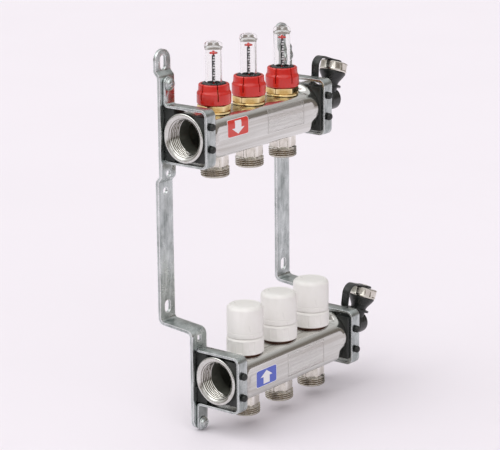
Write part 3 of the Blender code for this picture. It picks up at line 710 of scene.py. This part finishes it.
# ---------------------------------------------------------------- outlets
def outlet_mesh():
    """Hexagonal neck against the bar above a threaded end."""
    flat_radius = 0.0126 * math.cos(math.pi / 6)
    top, neck_end, low = -BAR_SIDE, -0.0322, -0.0412
    rows = [(0.0076, -0.0188, "round"), (0.0088, -0.0188, "round"), (0.0126, top, "hexagon"),
            (0.0126, neck_end + 0.0008, "hexagon"), (0.0118, neck_end, "round"),
            (0.0121, neck_end - 0.0002, "round"), (0.0131, neck_end - 0.0008, "round")]
    start, end = neck_end - 0.001, low + 0.0008
    count = 56
    for k in range(count + 1):
        rows.append((0.0132, start + (end - start) * k / count, "thread"))
    rows += [(0.0121, low + 0.0003, "round"), (0.0119, low, "round"), (0.0092, low, "round"),
             (0.0075, low + 0.0022, "round")]

    def warp(radius, z, angle, row):
        kind = rows[row][2]
        if kind == "hexagon":
            radius = sided(angle, flat_radius)
        if kind == "thread":
            edge = max(0.0, min((start - z) / 0.001, (z - end) / 0.001, 1.0))
            radius -= 0.00112 * groove(z, angle, THREAD_PITCH_G34) * edge + 0.0004 * (1 - edge)
        return radius, z

    return lathe("outlet", [(r, z) for r, z, _ in rows], NICKEL_THREAD, closed=True, warp=warp,
                 angles=sided_angles(), crease=25)


OUTLET = outlet_mesh()
for i, x in enumerate(OUTLET_X, 1):
    show(OUTLET, f"supply_outlet_{i}", at(x, SUPPLY_Y, SUPPLY_Z))
    show(OUTLET, f"return_outlet_{i}", at(x, RETURN_Y, RETURN_Z))


# ---------------------------------------------------------------- flow meters
def meter_body_mesh():
    """Brass hexagon over a narrow round foot, with a neck inside the collar."""
    return hexed("meter_body", [
        (0.0079, 0.0379, "r"), (0.0106, 0.0379, "r"), (0.0109, 0.0376, "r"), (0.0109, 0.0243, "r"),
        (0.0125, 0.0243, "h"), (0.0153, 0.0237, "h"), (0.0153, 0.0196, "h"), (0.015, 0.019, "h"),
        (0.0137, 0.0188, "r"), (0.0137, 0.0184, "r"), (0.0146, 0.0182, "r"), (0.0149, 0.0178, "r"),
        (0.0149, 0.0166, "r"), (0.0146, 0.0163, "r"), (0.0104, 0.0163, "r"), (0.0104, 0.006, "r"),
        (0.0079, 0.006, "r")], 0.0153, BRASS)


def collar_mesh():
    """Red collar: wide skirt, stepped fingers, six slots."""
    mesh = lathe("collar", soft([
        (0.0113, 0.0426, 0.0004), (0.0132, 0.0426, 0.0006), (0.0138, 0.0418, 0.0004),
        (0.0142, 0.0366, 0.0008), (0.0155, 0.0345, 0.0008), (0.0155, 0.0256, 0.0008),
        (0.0149, 0.0246, 0.0004), (0.0113, 0.0246, 0.0004)], 3, True), RED, 96, True)
    half, low, length = 0.0005, 0.0285, 0.0215
    blade = [(-0.02, -half), (0.02, -half), (0.02, half), (-0.02, half)]
    slots = [("DIFFERENCE", solid(blade, length, Matrix.Rotation(math.radians(60 * i), 4, "Z"),
                                  (0, 0, low + length / 2))) for i in range(3)]
    return carve(mesh, slots, 0.0001, 1, RED, 50)


def ring_mesh():
    """Black ring at the foot of the glass, with gripping notches round its rim."""
    def warp(radius, z, angle, row):
        if radius > 0.0095:
            radius -= 0.0006 * (0.5 + 0.5 * math.cos(12 * angle)) ** 4
        return radius, z

    return lathe("ring", soft([
        (0.0078, 0.0436, 0.0002), (0.01, 0.0436, 0.0004), (0.0109, 0.0428, 0.0004), (0.0109, 0.0382, 0.0003),
        (0.0078, 0.0382, 0.0002)], 2, True), BLACK, 144, True, warp)


def glass_mesh():
    """Clear tube under a wider lens-like dome with a flat crown."""
    return lathe("glass", soft([
        (0, 0.0801, 0), (0.004, 0.0801, 0.0006), (0.0048, 0.0796, 0.0004), (0.0056, 0.0796, 0.0004),
        (0.0077, 0.0786, 0.0014), (0.0081, 0.0764, 0.0012), (0.0081, 0.0746, 0.0006), (0.0075, 0.0732, 0.0008),
        (0.0075, 0.031, 0.0002), (0.0062, 0.031, 0.0002), (0.0062, 0.0742, 0.0012), (0.0048, 0.076, 0.001),
        (0.0022, 0.0768, 0.001), (0, 0.0758, 0)], 4), CLEAR, 64)


def indicator_mesh():
    """Thin rod, red disc in the glass and flow plate in the bar."""
    return lathe("indicator", soft([
        (0, 0.0722, 0), (0.0009, 0.072, 0.0003), (0.001, 0.0708, 0.0002), (0.0036, 0.0704, 0.0004),
        (0.0038, 0.0692, 0.0003), (0.0013, 0.0688, 0.0002), (0.0009, 0.0684, 0.0002),
        (0.0009, -0.006, 0.0002), (0.005, -0.006, 0.0003), (0.005, -0.0075, 0.0003),
        (0, -0.0075, 0)], 2), RED, 40)


def sheet(rows, columns, levels, point, finish):
    """Thin closed sheet; point(x, s, level) places rows of (x, first s, last s) at two levels."""
    work = bmesh.new()
    low, high = [[[work.verts.new(point(x, first + (last - first) * k / columns, level))
                   for k in range(columns + 1)] for x, first, last in rows] for level in levels]
    last_row = len(rows) - 1
    for j in range(last_row):
        for k in range(columns):
            work.faces.new((low[j][k], low[j + 1][k], low[j + 1][k + 1], low[j][k + 1]))
            work.faces.new((high[j][k], high[j][k + 1], high[j + 1][k + 1], high[j + 1][k]))
        for k in (0, columns):
            work.faces.new((low[j][k], high[j][k], high[j + 1][k], low[j + 1][k]))
    for j in (0, last_row):
        for k in range(columns):
            work.faces.new((low[j][k], low[j][k + 1], high[j][k + 1], high[j][k]))
    return shade(finished(work, "sheet", finish), 60)


def wrap(rows, radius, thickness, finish):
    """Sheet inside the glass: rows of (height, first angle, last angle)."""
    def point(height, angle, shell):
        return shell * math.cos(SCALE_AZIMUTH + angle), shell * math.sin(SCALE_AZIMUTH + angle), height

    return sheet(rows, 10, (radius, radius + thickness), point, finish)


def scale_meshes():
    """Black graduated strip inside the glass, and the white gaps between its marks."""
    inner = 0.0058
    half = 0.00135 / inner
    low, high = 0.044, 0.0688
    strip = wrap([(low, -half, half), (high, -half, half)], inner, 0.00008, INK)
    gaps = []
    first_gap, spacing = 0.0452, 0.0023
    for k in range(10):
        height = first_gap + spacing * k
        start = (-0.1, 0.2, -0.5)[k % 3]
        rows = [(height, start * half, 1.1 * half), (height + 0.0013, start * half, 1.1 * half)]
        gaps.append((wrap(rows, inner + 0.00009, 0.00006, CHALK), Matrix.Identity(4)))
    return strip, gathered(*gaps)


BODY, RING, GLASS, NEEDLE, COLLAR = (
    meter_body_mesh(), ring_mesh(), glass_mesh(), indicator_mesh(), collar_mesh())
STRIP, TICKS = scale_meshes()
for i, x in enumerate(OUTLET_X, 1):
    place = at(x, SUPPLY_Y, SUPPLY_Z)
    show(BODY, f"meter_body_{i}", place)
    show(COLLAR, f"locking_collar_{i}", place @ Matrix.Rotation(math.radians(COLLAR_TURNS[i - 1]), 4, "Z"))
    show(RING, f"regulating_ring_{i}", place)
    show(GLASS, f"sight_glass_{i}", place)
    show(NEEDLE, f"flow_indicator_{i}", place)
    detail(STRIP, f"scale_strip_{i}", f"glass_{i}", "black_plastic", place)
    detail(TICKS, f"scale_ticks_{i}", f"glass_{i}", "white_plastic", place)


# ---------------------------------------------------------------- valves
def valve_body_mesh():
    """Valve insert, of which only the dark ring under the nut shows."""
    return lathe("valve_body", soft([
        (0.0019, 0.0318, 0), (0.009, 0.0318, 0.0004), (0.009, 0.0176, 0), (0.0149, 0.0176, 0.0004),
        (0.0149, 0.0163, 0.0004), (0.0104, 0.0163, 0), (0.0104, 0.006, 0.0002), (0.0055, 0.006, 0),
        (0.0055, 0.02, 0), (0.0019, 0.02, 0)], 2, True), DARK_RING, 72, True)


def ring_nut_mesh():
    """White union nut with shallow grips between two plain rims."""
    rows = soft([
        (0.0093, 0.0327, 0.0002), (0.0155, 0.0327, 0.0004), (0.0171, 0.0308, 0.0006), (0.0171, 0.03, 0),
        (0.0171, 0.0296, 0), (0.0171, 0.02, 0), (0.0171, 0.0196, 0), (0.0171, 0.0179, 0.0005),
        (0.0093, 0.0179, 0.0002)], 3, True)

    def warp(radius, z, angle, row):
        if radius > 0.0165 and 0.0198 < z < 0.0298:
            radius -= 0.00045 * min(1.0, 6 * max(0.0, math.cos(9 * angle)))
        return radius, z

    return lathe("ring_nut", rows, WHITE, 180, True, warp)


def handwheel_mesh():
    """White cap with a bevelled crown, a fine rim line and a seam near its foot."""
    return lathe("handwheel", soft([
        (0, 0.0615, 0), (0.0118, 0.0616, 0.0002), (0.0124, 0.0612, 0.0002), (0.013, 0.0616, 0.0002),
        (0.0144, 0.0615, 0.0012), (0.0166, 0.0592, 0.0014), (0.0166, 0.0382, 0), (0.0163, 0.0379, 0),
        (0.0163, 0.0375, 0), (0.0166, 0.0372, 0), (0.0166, 0.033, 0.0005),
        (0.0143, 0.033, 0.0003), (0.0143, 0.0592, 0.0005), (0.004, 0.0592, 0.0003), (0.004, 0.0428, 0.0003),
        (0, 0.0428, 0)], 4), WHITE, 96)


def valve_pin_mesh():
    return lathe("valve_pin", soft([
        (0, 0.0425, 0), (0.0036, 0.0425, 0.0004), (0.0036, 0.041, 0.0003), (0.0015, 0.041, 0.0002),
        (0.0015, -0.013, 0.0002), (0.0065, -0.013, 0.0004), (0.0065, -0.0155, 0.0004), (0, -0.0155, 0)], 2),
        ZINC, 32)


def spring_mesh():
    """Coil spring swept along a helix."""
    work = bmesh.new()
    wire, radius, low, high, turns, per_turn, around = 0.00045, 0.0031, 0.0326, 0.0402, 4, 24, 8
    rings = []
    for i in range(turns * per_turn + 1):
        turn = 2 * math.pi * i / per_turn
        height = low + (high - low) * i / (turns * per_turn)
        ring = []
        for k in range(around):
            a = 2 * math.pi * k / around
            r = radius + wire * math.cos(a)
            rise = wire * math.sin(a)
            ring.append(work.verts.new((r * math.cos(turn), r * math.sin(turn), height + rise)))
        rings.append(ring)
    for first, other in zip(rings, rings[1:]):
        for k in range(around):
            n = (k + 1) % around
            work.faces.new((first[k], first[n], other[n], other[k]))
    work.faces.new(rings[0][::-1])
    work.faces.new(rings[-1])
    return shade(finished(work, "spring", WIRE), 60)


VALVE_PARTS = {"valve_body": valve_body_mesh(), "ring_nut": ring_nut_mesh(), "handwheel": handwheel_mesh(),
               "valve_pin": valve_pin_mesh(), "valve_spring": spring_mesh()}
for i, x in enumerate(OUTLET_X, 1):
    for stem, mesh in VALVE_PARTS.items():
        show(mesh, f"{stem}_{i}", at(x, RETURN_Y, RETURN_Z))


# ---------------------------------------------------------------- brackets
def bracket_mesh():
    """Bent and punched strip, edges slightly rounded."""
    thickness, half_width, top, bottom = 0.003, 0.01, 0.184, -0.1595
    on_wall, upper_seat = -thickness / 2, -thickness / 2 - 0.004
    lower_seat = RETURN_Y + SEAT_BEHIND_AXIS + thickness / 2
    side_view = ribbon([
        (on_wall, top + 0.001), (on_wall, 0.1645, 0.003), (upper_seat, 0.1605, 0.003),
        (upper_seat, 0.07, 0.003), (on_wall, 0.0655, 0.003), (on_wall, -0.0643, 0.005),
        (lower_seat, -0.0678, 0.005), (lower_seat, bottom - 0.001)], thickness)
    steps = [("INTERSECT", solid(stadium(half_width, bottom, top, 24), 0.2, UPRIGHT))]
    for slot in ((0.0038, 0.1655, 0.1789), (0.004, -0.0567, -0.0449)):
        steps.append(("DIFFERENCE", solid(stadium(*slot), 0.2, UPRIGHT)))
    for height in (0.0727, 0.0565):
        steps.append(("DIFFERENCE", rod(0.003, (0, -0.05, height), (0, 0.01, height))))
    hook_low, hook_high = CLAMP_HOOK_SIDE - 0.004, CLAMP_HOOK_SIDE + CLAMP_THICKNESS + 0.0004
    half = HOOK_HALF_WIDTH + 0.0005
    for low, high, across in ((SUPPLY_Z - hook_high, SUPPLY_Z - hook_low, half),
                              (RETURN_Z + hook_low, RETURN_Z + hook_high, half),
                              (-0.0766, -0.0714, 0.0026)):
        steps.append(("DIFFERENCE", block((-across, -0.05, low), (across, 0.01, high))))
    for screw_z, seat_y in ((SUPPLY_Z + SCREW_HEIGHT, upper_seat), (RETURN_Z - SCREW_HEIGHT, lower_seat)):
        steps.append(("DIFFERENCE", rod(0.0027, (0, seat_y - 0.004, screw_z), (0, seat_y + 0.004, screw_z))))
    return carve(solid(side_view, 2 * half_width + 0.002, SIDEWAYS), steps, 0.0005, 3, ZINC)


BRACKET = bracket_mesh()
show(BRACKET, "bracket_left", at(-BRACKET_X, 0, 0))
show(BRACKET, "bracket_right", at(BRACKET_X, 0, 0))


# ---------------------------------------------------------------- clamps, screws and inserts
def clamp_mesh():
    half = CLAMP_THICKNESS / 2
    leg_y = SEAT_BEHIND_AXIS - 0.0004 - half
    tail_y = SEAT_BEHIND_AXIS + 0.003 + 0.0013 + half
    top, bottom = CLAMP_LEG_SIDE + half, -CLAMP_HOOK_SIDE - half
    front = -CLAMP_FRONT - half
    side_view = ribbon([
        (leg_y, CLAMP_LEG_END), (leg_y, top, 0.0035), (front, top, 0.0049), (front, bottom, 0.0049),
        (tail_y, bottom, 0.0014), (tail_y, bottom + 0.0042)], CLAMP_THICKNESS)
    steps = [("INTERSECT", solid(stadium(CLAMP_HALF_WIDTH, -0.06, CLAMP_LEG_END, 24), 0.2, UPRIGHT))]
    for side in (-1, 1):
        low, high = sorted((side * HOOK_HALF_WIDTH, side * 0.01))
        steps.append(("DIFFERENCE", block((low, SEAT_BEHIND_AXIS - 0.0025, -0.035), (high, 0.05, -0.01))))
    for height in STUD_HEIGHTS:
        steps.append(("DIFFERENCE", rod(0.0032, (0, -0.03, height), (0, -0.02, height))))
    steps.append(("DIFFERENCE", rod(0.0029, (0, 0.015, SCREW_HEIGHT), (0, 0.03, SCREW_HEIGHT))))
    return carve(solid(side_view, 2 * CLAMP_HALF_WIDTH + 0.002, SIDEWAYS), steps, 0.00045, 3, ZINC)


def screw_mesh():
    """Pan head with a cross recess."""
    seat = SEAT_BEHIND_AXIS - 0.0004 - CLAMP_THICKNESS - GAP
    head = lathe("screw", soft([
        (0, -seat + 0.0038, 0), (0.0024, -seat + 0.0037, 0.0004), (0.0044, -seat + 0.0028, 0.001),
        (0.005, -seat + 0.0013, 0.0004), (0.006, -seat + 0.001, 0.0003), (0.006, -seat, 0.0002),
        (0.0024, -seat, 0.0001), (0.0024, -0.0311, 0.0002), (0, -0.0311, 0)], 3), ZINC, 48)
    recess = -seat + 0.0038
    cuts = [("DIFFERENCE", block((-0.0028, -0.0006, recess - 0.0016), (0.0028, 0.0006, recess + 0.001))),
            ("DIFFERENCE", block((-0.0006, -0.0028, recess - 0.0016), (0.0006, 0.0028, recess + 0.001)))]
    return carve(head, cuts, 0.00012, 1, ZINC, 50)


def stud_mesh():
    outer = CLAMP_FRONT + CLAMP_THICKNESS
    return lathe("stud", soft([
        (0, outer + 0.004, 0), (0.0024, outer + 0.0038, 0.0008), (0.0034, outer + 0.0022, 0.001),
        (0.0033, outer + 0.0006, 0.0004), (0.0028, outer + GAP, 0.0002), (0.0028, outer - 0.003, 0),
        (0, outer - 0.003, 0)], 3), RUBBER, 40)


def insert_mesh(side, leg):
    """Rubber block round the bar, relieved in front, with two studs through the clamp."""
    front, back = -CLAMP_FRONT + GAP, SEAT_BEHIND_AXIS - GAP
    reach = (CLAMP_LEG_SIDE - GAP, CLAMP_HOOK_SIDE - GAP)
    high, low = (reach[0], -reach[1]) if leg > 0 else (reach[1], -reach[0])
    corner = 0.0036
    outline = (arc((back - 0.001, high - 0.001), 0.001, 0, 90, 3)
               + arc((front + corner, high - corner), corner, 90, 180, 8)
               + arc((front + corner, low + corner), corner, 180, 270, 8)
               + arc((back - 0.001, low + 0.001), 0.001, 270, 360, 3))
    shift = side * (0.084 - BRACKET_X)
    steps = [("DIFFERENCE", rod(BAR_RADIUS + 0.0001, (-0.03, 0, 0), (0.03, 0, 0), 120))]
    for edge_low, edge_high in ((0.0205, 0.03), (-0.03, -0.0205)):
        steps.append(("DIFFERENCE", block((-0.02, -0.03, edge_low), (0.02, 0.012, edge_high))))
    body = carve(solid(outline, 0.014, SIDEWAYS, (shift, 0, 0)), steps, 0.0002, 2, RUBBER)
    stud = stud_mesh()
    studs = [(stud, at(0, 0, leg * height) @ UPRIGHT) for height in STUD_HEIGHTS]
    return gathered((body, Matrix.Identity(4)), *studs)


CLAMP = clamp_mesh()
SCREW = screw_mesh()
for side_name, side in (("left", -1), ("right", 1)):
    for level, axis_y, axis_z, leg in (("upper", SUPPLY_Y, SUPPLY_Z, 1), ("lower", RETURN_Y, RETURN_Z, -1)):
        place = at(side * BRACKET_X, axis_y, axis_z)
        tag = f"{level}_{side_name}"
        flip = Matrix.Rotation(0 if leg == 1 else math.pi, 4, "Y")
        show(CLAMP, "clamp_" + tag, place @ flip)
        show(SCREW, "clamp_screw_" + tag, place @ at(0, 0, leg * SCREW_HEIGHT) @ UPRIGHT
             @ Matrix.Rotation(math.radians(25 + 30 * side + 17 * leg), 4, "Z"))
        show(insert_mesh(side, leg), "rubber_insert_" + tag, place)


# ---------------------------------------------------------------- drain units
SPOUT = at(SPOUT_X, 0, 0) @ Matrix.Rotation(SPOUT_TILT, 4, "Y")


def plug_mesh():
    """Hexagonal plug in the bar end, with the neck that the drain swivels on."""
    return hexed("plug", [
        (0.005, 0.124, "r"), (0.0066, 0.124, "r"), (0.007, 0.1236, "r"), (0.007, 0.1157, "r"),
        (0.0092, 0.1157, "r"), (0.0092, 0.1008, "r"), (0.0185, 0.1005, "h"), (0.02, 0.0999, "h"),
        (0.02, 0.095, "h"), (0.0194, 0.0944, "h"), (0.0163, 0.0943, "r"), (0.0163, 0.083, "r"),
        (0.005, 0.083, "r")], 0.02, NICKEL, 0)


def drain_mesh():
    """Black swivel drum with a flared, ribbed spout leaning outwards."""
    drum = lathe("drum", soft([
        (0, DRUM_END, 0), (0.006, DRUM_END, 0.0004), (0.0088, 0.1306, 0.001), (0.0104, 0.1288, 0.0012),
        (0.0104, 0.1166, 0.0006), (0.0098, DRUM_START, 0.0003), (0.0073, DRUM_START, 0.0002),
        (0.0073, 0.1248, 0), (0, 0.1248, 0)], 3), BLACK, 72)
    spout = lathe("spout", soft([
        (0, 0.0337, 0), (0.011, 0.0337, 0.0004), (0.0118, 0.0328, 0.0004), (0.0118, 0.0274, 0.0003),
        (0.0126, 0.027, 0.0003), (0.0126, 0.0258, 0.0006), (0.01, 0.0212, 0.002), (0.0074, 0.0172, 0.0022),
        (0.0074, 0.006, 0), (0, 0.006, 0)], 4), BLACK, 72)
    spout.transform(SPOUT)
    drum.transform(ON_BAR)
    bore = rod(0.0045, SPOUT @ Vector((0, 0, 0.0022)), SPOUT @ Vector((0, 0, 0.04)))
    return carve(drum, [("UNION", spout), ("DIFFERENCE", bore)], 0, 0, BLACK)


def cap_mesh():
    """Nickel cap with broad flats round its rim and a button on top."""
    def warp(radius, z, angle, row):
        if radius > 0.0124 and CAP_BOTTOM + 0.0012 < z < CAP_TOP - 0.001:
            radius = min(radius, sided(angle, 0.0125, 0, 10))
        return radius, z

    return lathe("cap", soft([
        (0, CAP_TOP + 0.0026, 0), (0.0026, CAP_TOP + 0.0026, 0.0006), (0.0026, CAP_TOP, 0),
        (0.012, CAP_TOP, 0.0008), (CAP_RADIUS, CAP_TOP - 0.0008, 0.0003), (CAP_RADIUS, CAP_TOP - 0.0014, 0),
        (CAP_RADIUS, CAP_BOTTOM + 0.0022, 0), (CAP_RADIUS, CAP_BOTTOM + 0.0009, 0.0003),
        (CAP_RADIUS - 0.0006, CAP_BOTTOM, 0.0002), (0.0121, CAP_BOTTOM, 0.0002),
        (0.0121, CAP_TOP - 0.0024, 0.0004), (0, CAP_TOP - 0.0024, 0)], 3), NICKEL, warp=warp,
        angles=sided_angles(0, 10, 8), crease=25)


def strap_mesh():
    """Moulded strap: ring on the spout, wide loop and eye on the cap's button."""
    ring_low, ring_high = 0.013, 0.015
    eye_low = CAP_TOP + GAP
    eye_high = eye_low + 0.0018
    ring = lathe("strap_ring", soft([
        (0.0079, ring_high, 0.0003), (0.0106, ring_high, 0.0005), (0.0106, ring_low, 0.0005),
        (0.0079, ring_low, 0.0003)], 3, True), BLACK, 64, True)
    eye = lathe("strap_eye", soft([
        (0.003, eye_high, 0.0002), (0.0066, eye_high, 0.0005), (0.0066, eye_low, 0.0003),
        (0.003, eye_low, 0.0002)], 3, True), BLACK, 56, True)
    ring.transform(SPOUT)
    eye.transform(SPOUT)
    start = SPOUT @ Vector((-0.0088, 0, (ring_low + ring_high) / 2))
    landing = SPOUT @ Vector((-0.004, 0, (eye_low + eye_high) / 2))
    corners = [(start.x, start.z), (0.101, 0.0205, 0.006), (0.1022, 0.0458, 0.0085),
               (landing.x, landing.z)]
    loop = ribbon(corners, eye_high - eye_low - 0.0002, 14)
    band = carve(solid(loop, 0.008, UPRIGHT), [], 0.0004, 3, BLACK, 50)
    return carve(ring, [("UNION", eye), ("UNION", band)], 0, 0, BLACK)


DRAIN_PARTS = {"end_plug": (plug_mesh(), ON_BAR), "drain_spout": (drain_mesh(), Matrix.Identity(4)),
               "spout_cap": (cap_mesh(), SPOUT), "cap_strap": (strap_mesh(), Matrix.Identity(4))}
for level, axis_y, axis_z, turn in (("upper", SUPPLY_Y, SUPPLY_Z, 0.0),
                                    ("lower", RETURN_Y, RETURN_Z, LOWER_DRAIN_TURN)):
    axis = at(0, axis_y, axis_z) @ Matrix.Rotation(turn, 4, "X")
    for stem, (mesh, matrix) in DRAIN_PARTS.items():
        show(mesh, f"{stem}_{level}", axis @ matrix)


# ---------------------------------------------------------------- labels on the bars
def draped(rows, lift, thickness, finish):
    """Sheet on the bar's front: rows of (x, low, high), measured up round the section."""
    def point(x, s, rise):
        for corner, end, way in ((UPPER_CORNER, BAR_FLAT, 1), (LOWER_CORNER, BAR_SIDE, -1)):
            bend = (way * s - (end - corner)) / corner
            if bend > 0:
                reach = corner + rise
                return (x, corner - BAR_SIDE - reach * math.cos(bend),
                        way * (end - corner + reach * math.sin(bend)))
        return x, -BAR_SIDE - rise, s

    return sheet(rows, 24, (lift, lift + thickness), point, finish)


def label_rows(centre, middle, half_width, half_height, corner):
    """Rounded rectangle as rows of (x, low, high) for draped."""
    rows = []
    steps = 6
    for k in range(2 * steps + 2):
        if k <= steps:
            a = math.pi / 2 * k / steps
            x = -half_width + corner * (1 - math.cos(a))
            inset = corner * (1 - math.sin(a))
        else:
            a = math.pi / 2 * (k - steps - 1) / steps
            x = half_width - corner * (1 - math.sin(a))
            inset = corner * (1 - math.cos(a))
        rows.append((centre + x, middle - half_height + inset, middle + half_height - inset))
    return rows


def arrow_rows(centre, middle, height, half_shaft, half_head, up):
    """Arrow along the label's height as rows of (x, low, high)."""
    rows = []
    head = 0.46 * height
    for x in (-half_head, -half_shaft, -half_shaft + 1e-6, 0.0, half_shaft - 1e-6, half_shaft, half_head):
        tip = height / 2 - head * abs(x) / half_head
        base = -height / 2 if abs(x) < half_shaft else height / 2 - head
        low, high = base, max(tip, base + 1e-6)
        if not up:
            low, high = -high, -low
        rows.append((centre + x, middle + low, middle + high))
    return rows


def flow_label(name, body_y, body_z, centre_x, middle, colour, up):
    """Coloured plate with a white border and a white arrow on the bar's front."""
    place = at(0, body_y, body_z)
    border = draped(label_rows(centre_x, middle, 0.015, 0.0081, 0.0022), 0.00002, 0.00006, CHALK)
    plate = draped(label_rows(centre_x, middle, 0.0145, 0.0076, 0.0018), 0.00008, 0.00005, colour)
    arrow = draped(arrow_rows(centre_x, middle, 0.0122, 0.0045, 0.0088, up), 0.00013, 0.00005, CHALK)
    for mesh, stem in ((border, "border"), (plate, "plate"), (arrow, "arrow")):
        slot = "white_plastic" if stem != "plate" else "red_plastic"
        detail(mesh, f"{name}_{stem}", "frame", slot, place)


def film_label(name, body_y, body_z, centre_x, middle, half_width, half_height):
    """Clear film and the fine line of its cut edge."""
    place = at(0, body_y, body_z)
    film = draped(label_rows(centre_x, middle, half_width, half_height, 0.0008), 0.00002, 0.00006, FILM)
    detail(film, name, "frame", "clear_plastic", place)
    left, right = centre_x - half_width, centre_x + half_width
    low, high, line = middle - half_height, middle + half_height, 0.00035
    edges = [[(left, low, high), (left + line, low, high)],
             [(right - line, low, high), (right, low, high)],
             [(left, high - line, high), (right, high - line, high)],
             [(left, low, low + line), (right, low, low + line)]]
    outline = gathered(*[(draped(rows, 0.00009, 0.00003, EDGE_PRINT), Matrix.Identity(4))
                         for rows in edges])
    detail(outline, name + "_edge", "frame", "clear_plastic", place)


flow_label("supply_label", SUPPLY_Y, SUPPLY_Z, -0.0419, 0.0041, RED_PRINT, False)
flow_label("return_label", RETURN_Y, RETURN_Z, -0.0455, -0.0041, BLUE_PRINT, True)
film_label("supply_film", SUPPLY_Y, SUPPLY_Z, 0.0288, 0.0018, 0.0272, 0.0115)
film_label("return_film", RETURN_Y, RETURN_Z, 0.0148, -0.003, 0.0278, 0.011)


# ---------------------------------------------------------------- floor, light and camera
STUDIO_STRENGTH = 0.79
STUDIO_TONES = ((0.0, (0.3, 0.265, 0.24)), (0.12, (0.4, 0.37, 0.345)),
                (0.3, (0.8, 0.78, 0.78)), (0.6, (1.0, 0.99, 1.0)))   # by height, 0 at the horizon
DARKER_SIDE = (0.83, -0.56, 0.0)
DARKER_SIDE_RISE = 0.34


def stage_floor():
    """Wide pale floor just under the lowest point."""
    corners = [(-9, -9, 0), (9, -9, 0), (9, 9, 0), (-9, 9, 0)]
    mesh = bpy.data.meshes.new("floor")
    mesh.from_pydata(corners, [], [(0, 1, 2, 3)])
    mesh.materials.append(pale_floor())
    made = link("floor", mesh)
    made.location.z = CAD_BOX[0].z - 0.0006


def studio_world():
    """Pale studio: bright above, a greyer band at the height of the walls, higher on one side."""
    world = bpy.data.worlds.new("studio")
    bpy.context.scene.world = world
    world.use_nodes = True
    tree = world.node_tree
    direction = add_node(tree, "TexCoord").outputs["Generated"]
    height = add_node(tree, "SeparateXYZ", [("Vector", direction)]).outputs["Z"]
    sideways = add_node(tree, "VectorMath", [(0, direction), (1, DARKER_SIDE)], operation="DOT_PRODUCT")
    share = add_node(tree, "Math", [(0, sideways.outputs["Value"]), (1, 0.0)], operation="MAXIMUM")
    lowered = add_node(tree, "Math", [(0, share.outputs[0]), (1, -DARKER_SIDE_RISE), (2, height)],
                       operation="MULTIPLY_ADD")
    ramp = add_node(tree, "ValToRGB", [("Fac", lowered.outputs[0])])
    elements = ramp.color_ramp.elements
    for element, (position, colour) in zip(elements, (STUDIO_TONES[0], STUDIO_TONES[-1])):
        element.position = position
        element.color = (*colour, 1)
    for position, colour in STUDIO_TONES[1:-1]:
        elements.new(position).color = (*colour, 1)
    background = tree.nodes["Background"]
    tree.links.new(ramp.outputs["Color"], background.inputs["Color"])
    background.inputs["Strength"].default_value = STUDIO_STRENGTH


def distant_light(name, towards, strength, spread):
    """Even light from far away in that direction, softened by its spread in degrees."""
    data = bpy.data.lights.new(name, "SUN")
    data.energy = strength
    data.angle = math.radians(spread)
    made = link(name, data)
    made.rotation_euler = Vector(towards).to_track_quat("Z", "Y").to_euler()


def photo_camera():
    """Long lens, from the front left and a little above."""
    data = bpy.data.cameras.new("camera")
    data.lens = 148.75
    data.sensor_width = 36
    data.clip_end = 50
    made = link("camera", data)
    made.location = (-1.4444, -1.1636, 0.4977)
    made.rotation_euler = [math.radians(v) for v in (75.139, 0.522, -52.018)]
    bpy.context.scene.camera = made


stage_floor()
studio_world()
distant_light("key", (-0.62, 0.4, 1.25), 1.0, 60)
distant_light("fill", (-0.7, -0.75, 0.8), 0.5, 60)
photo_camera()
bpy.context.scene.view_settings.view_transform = "Standard"
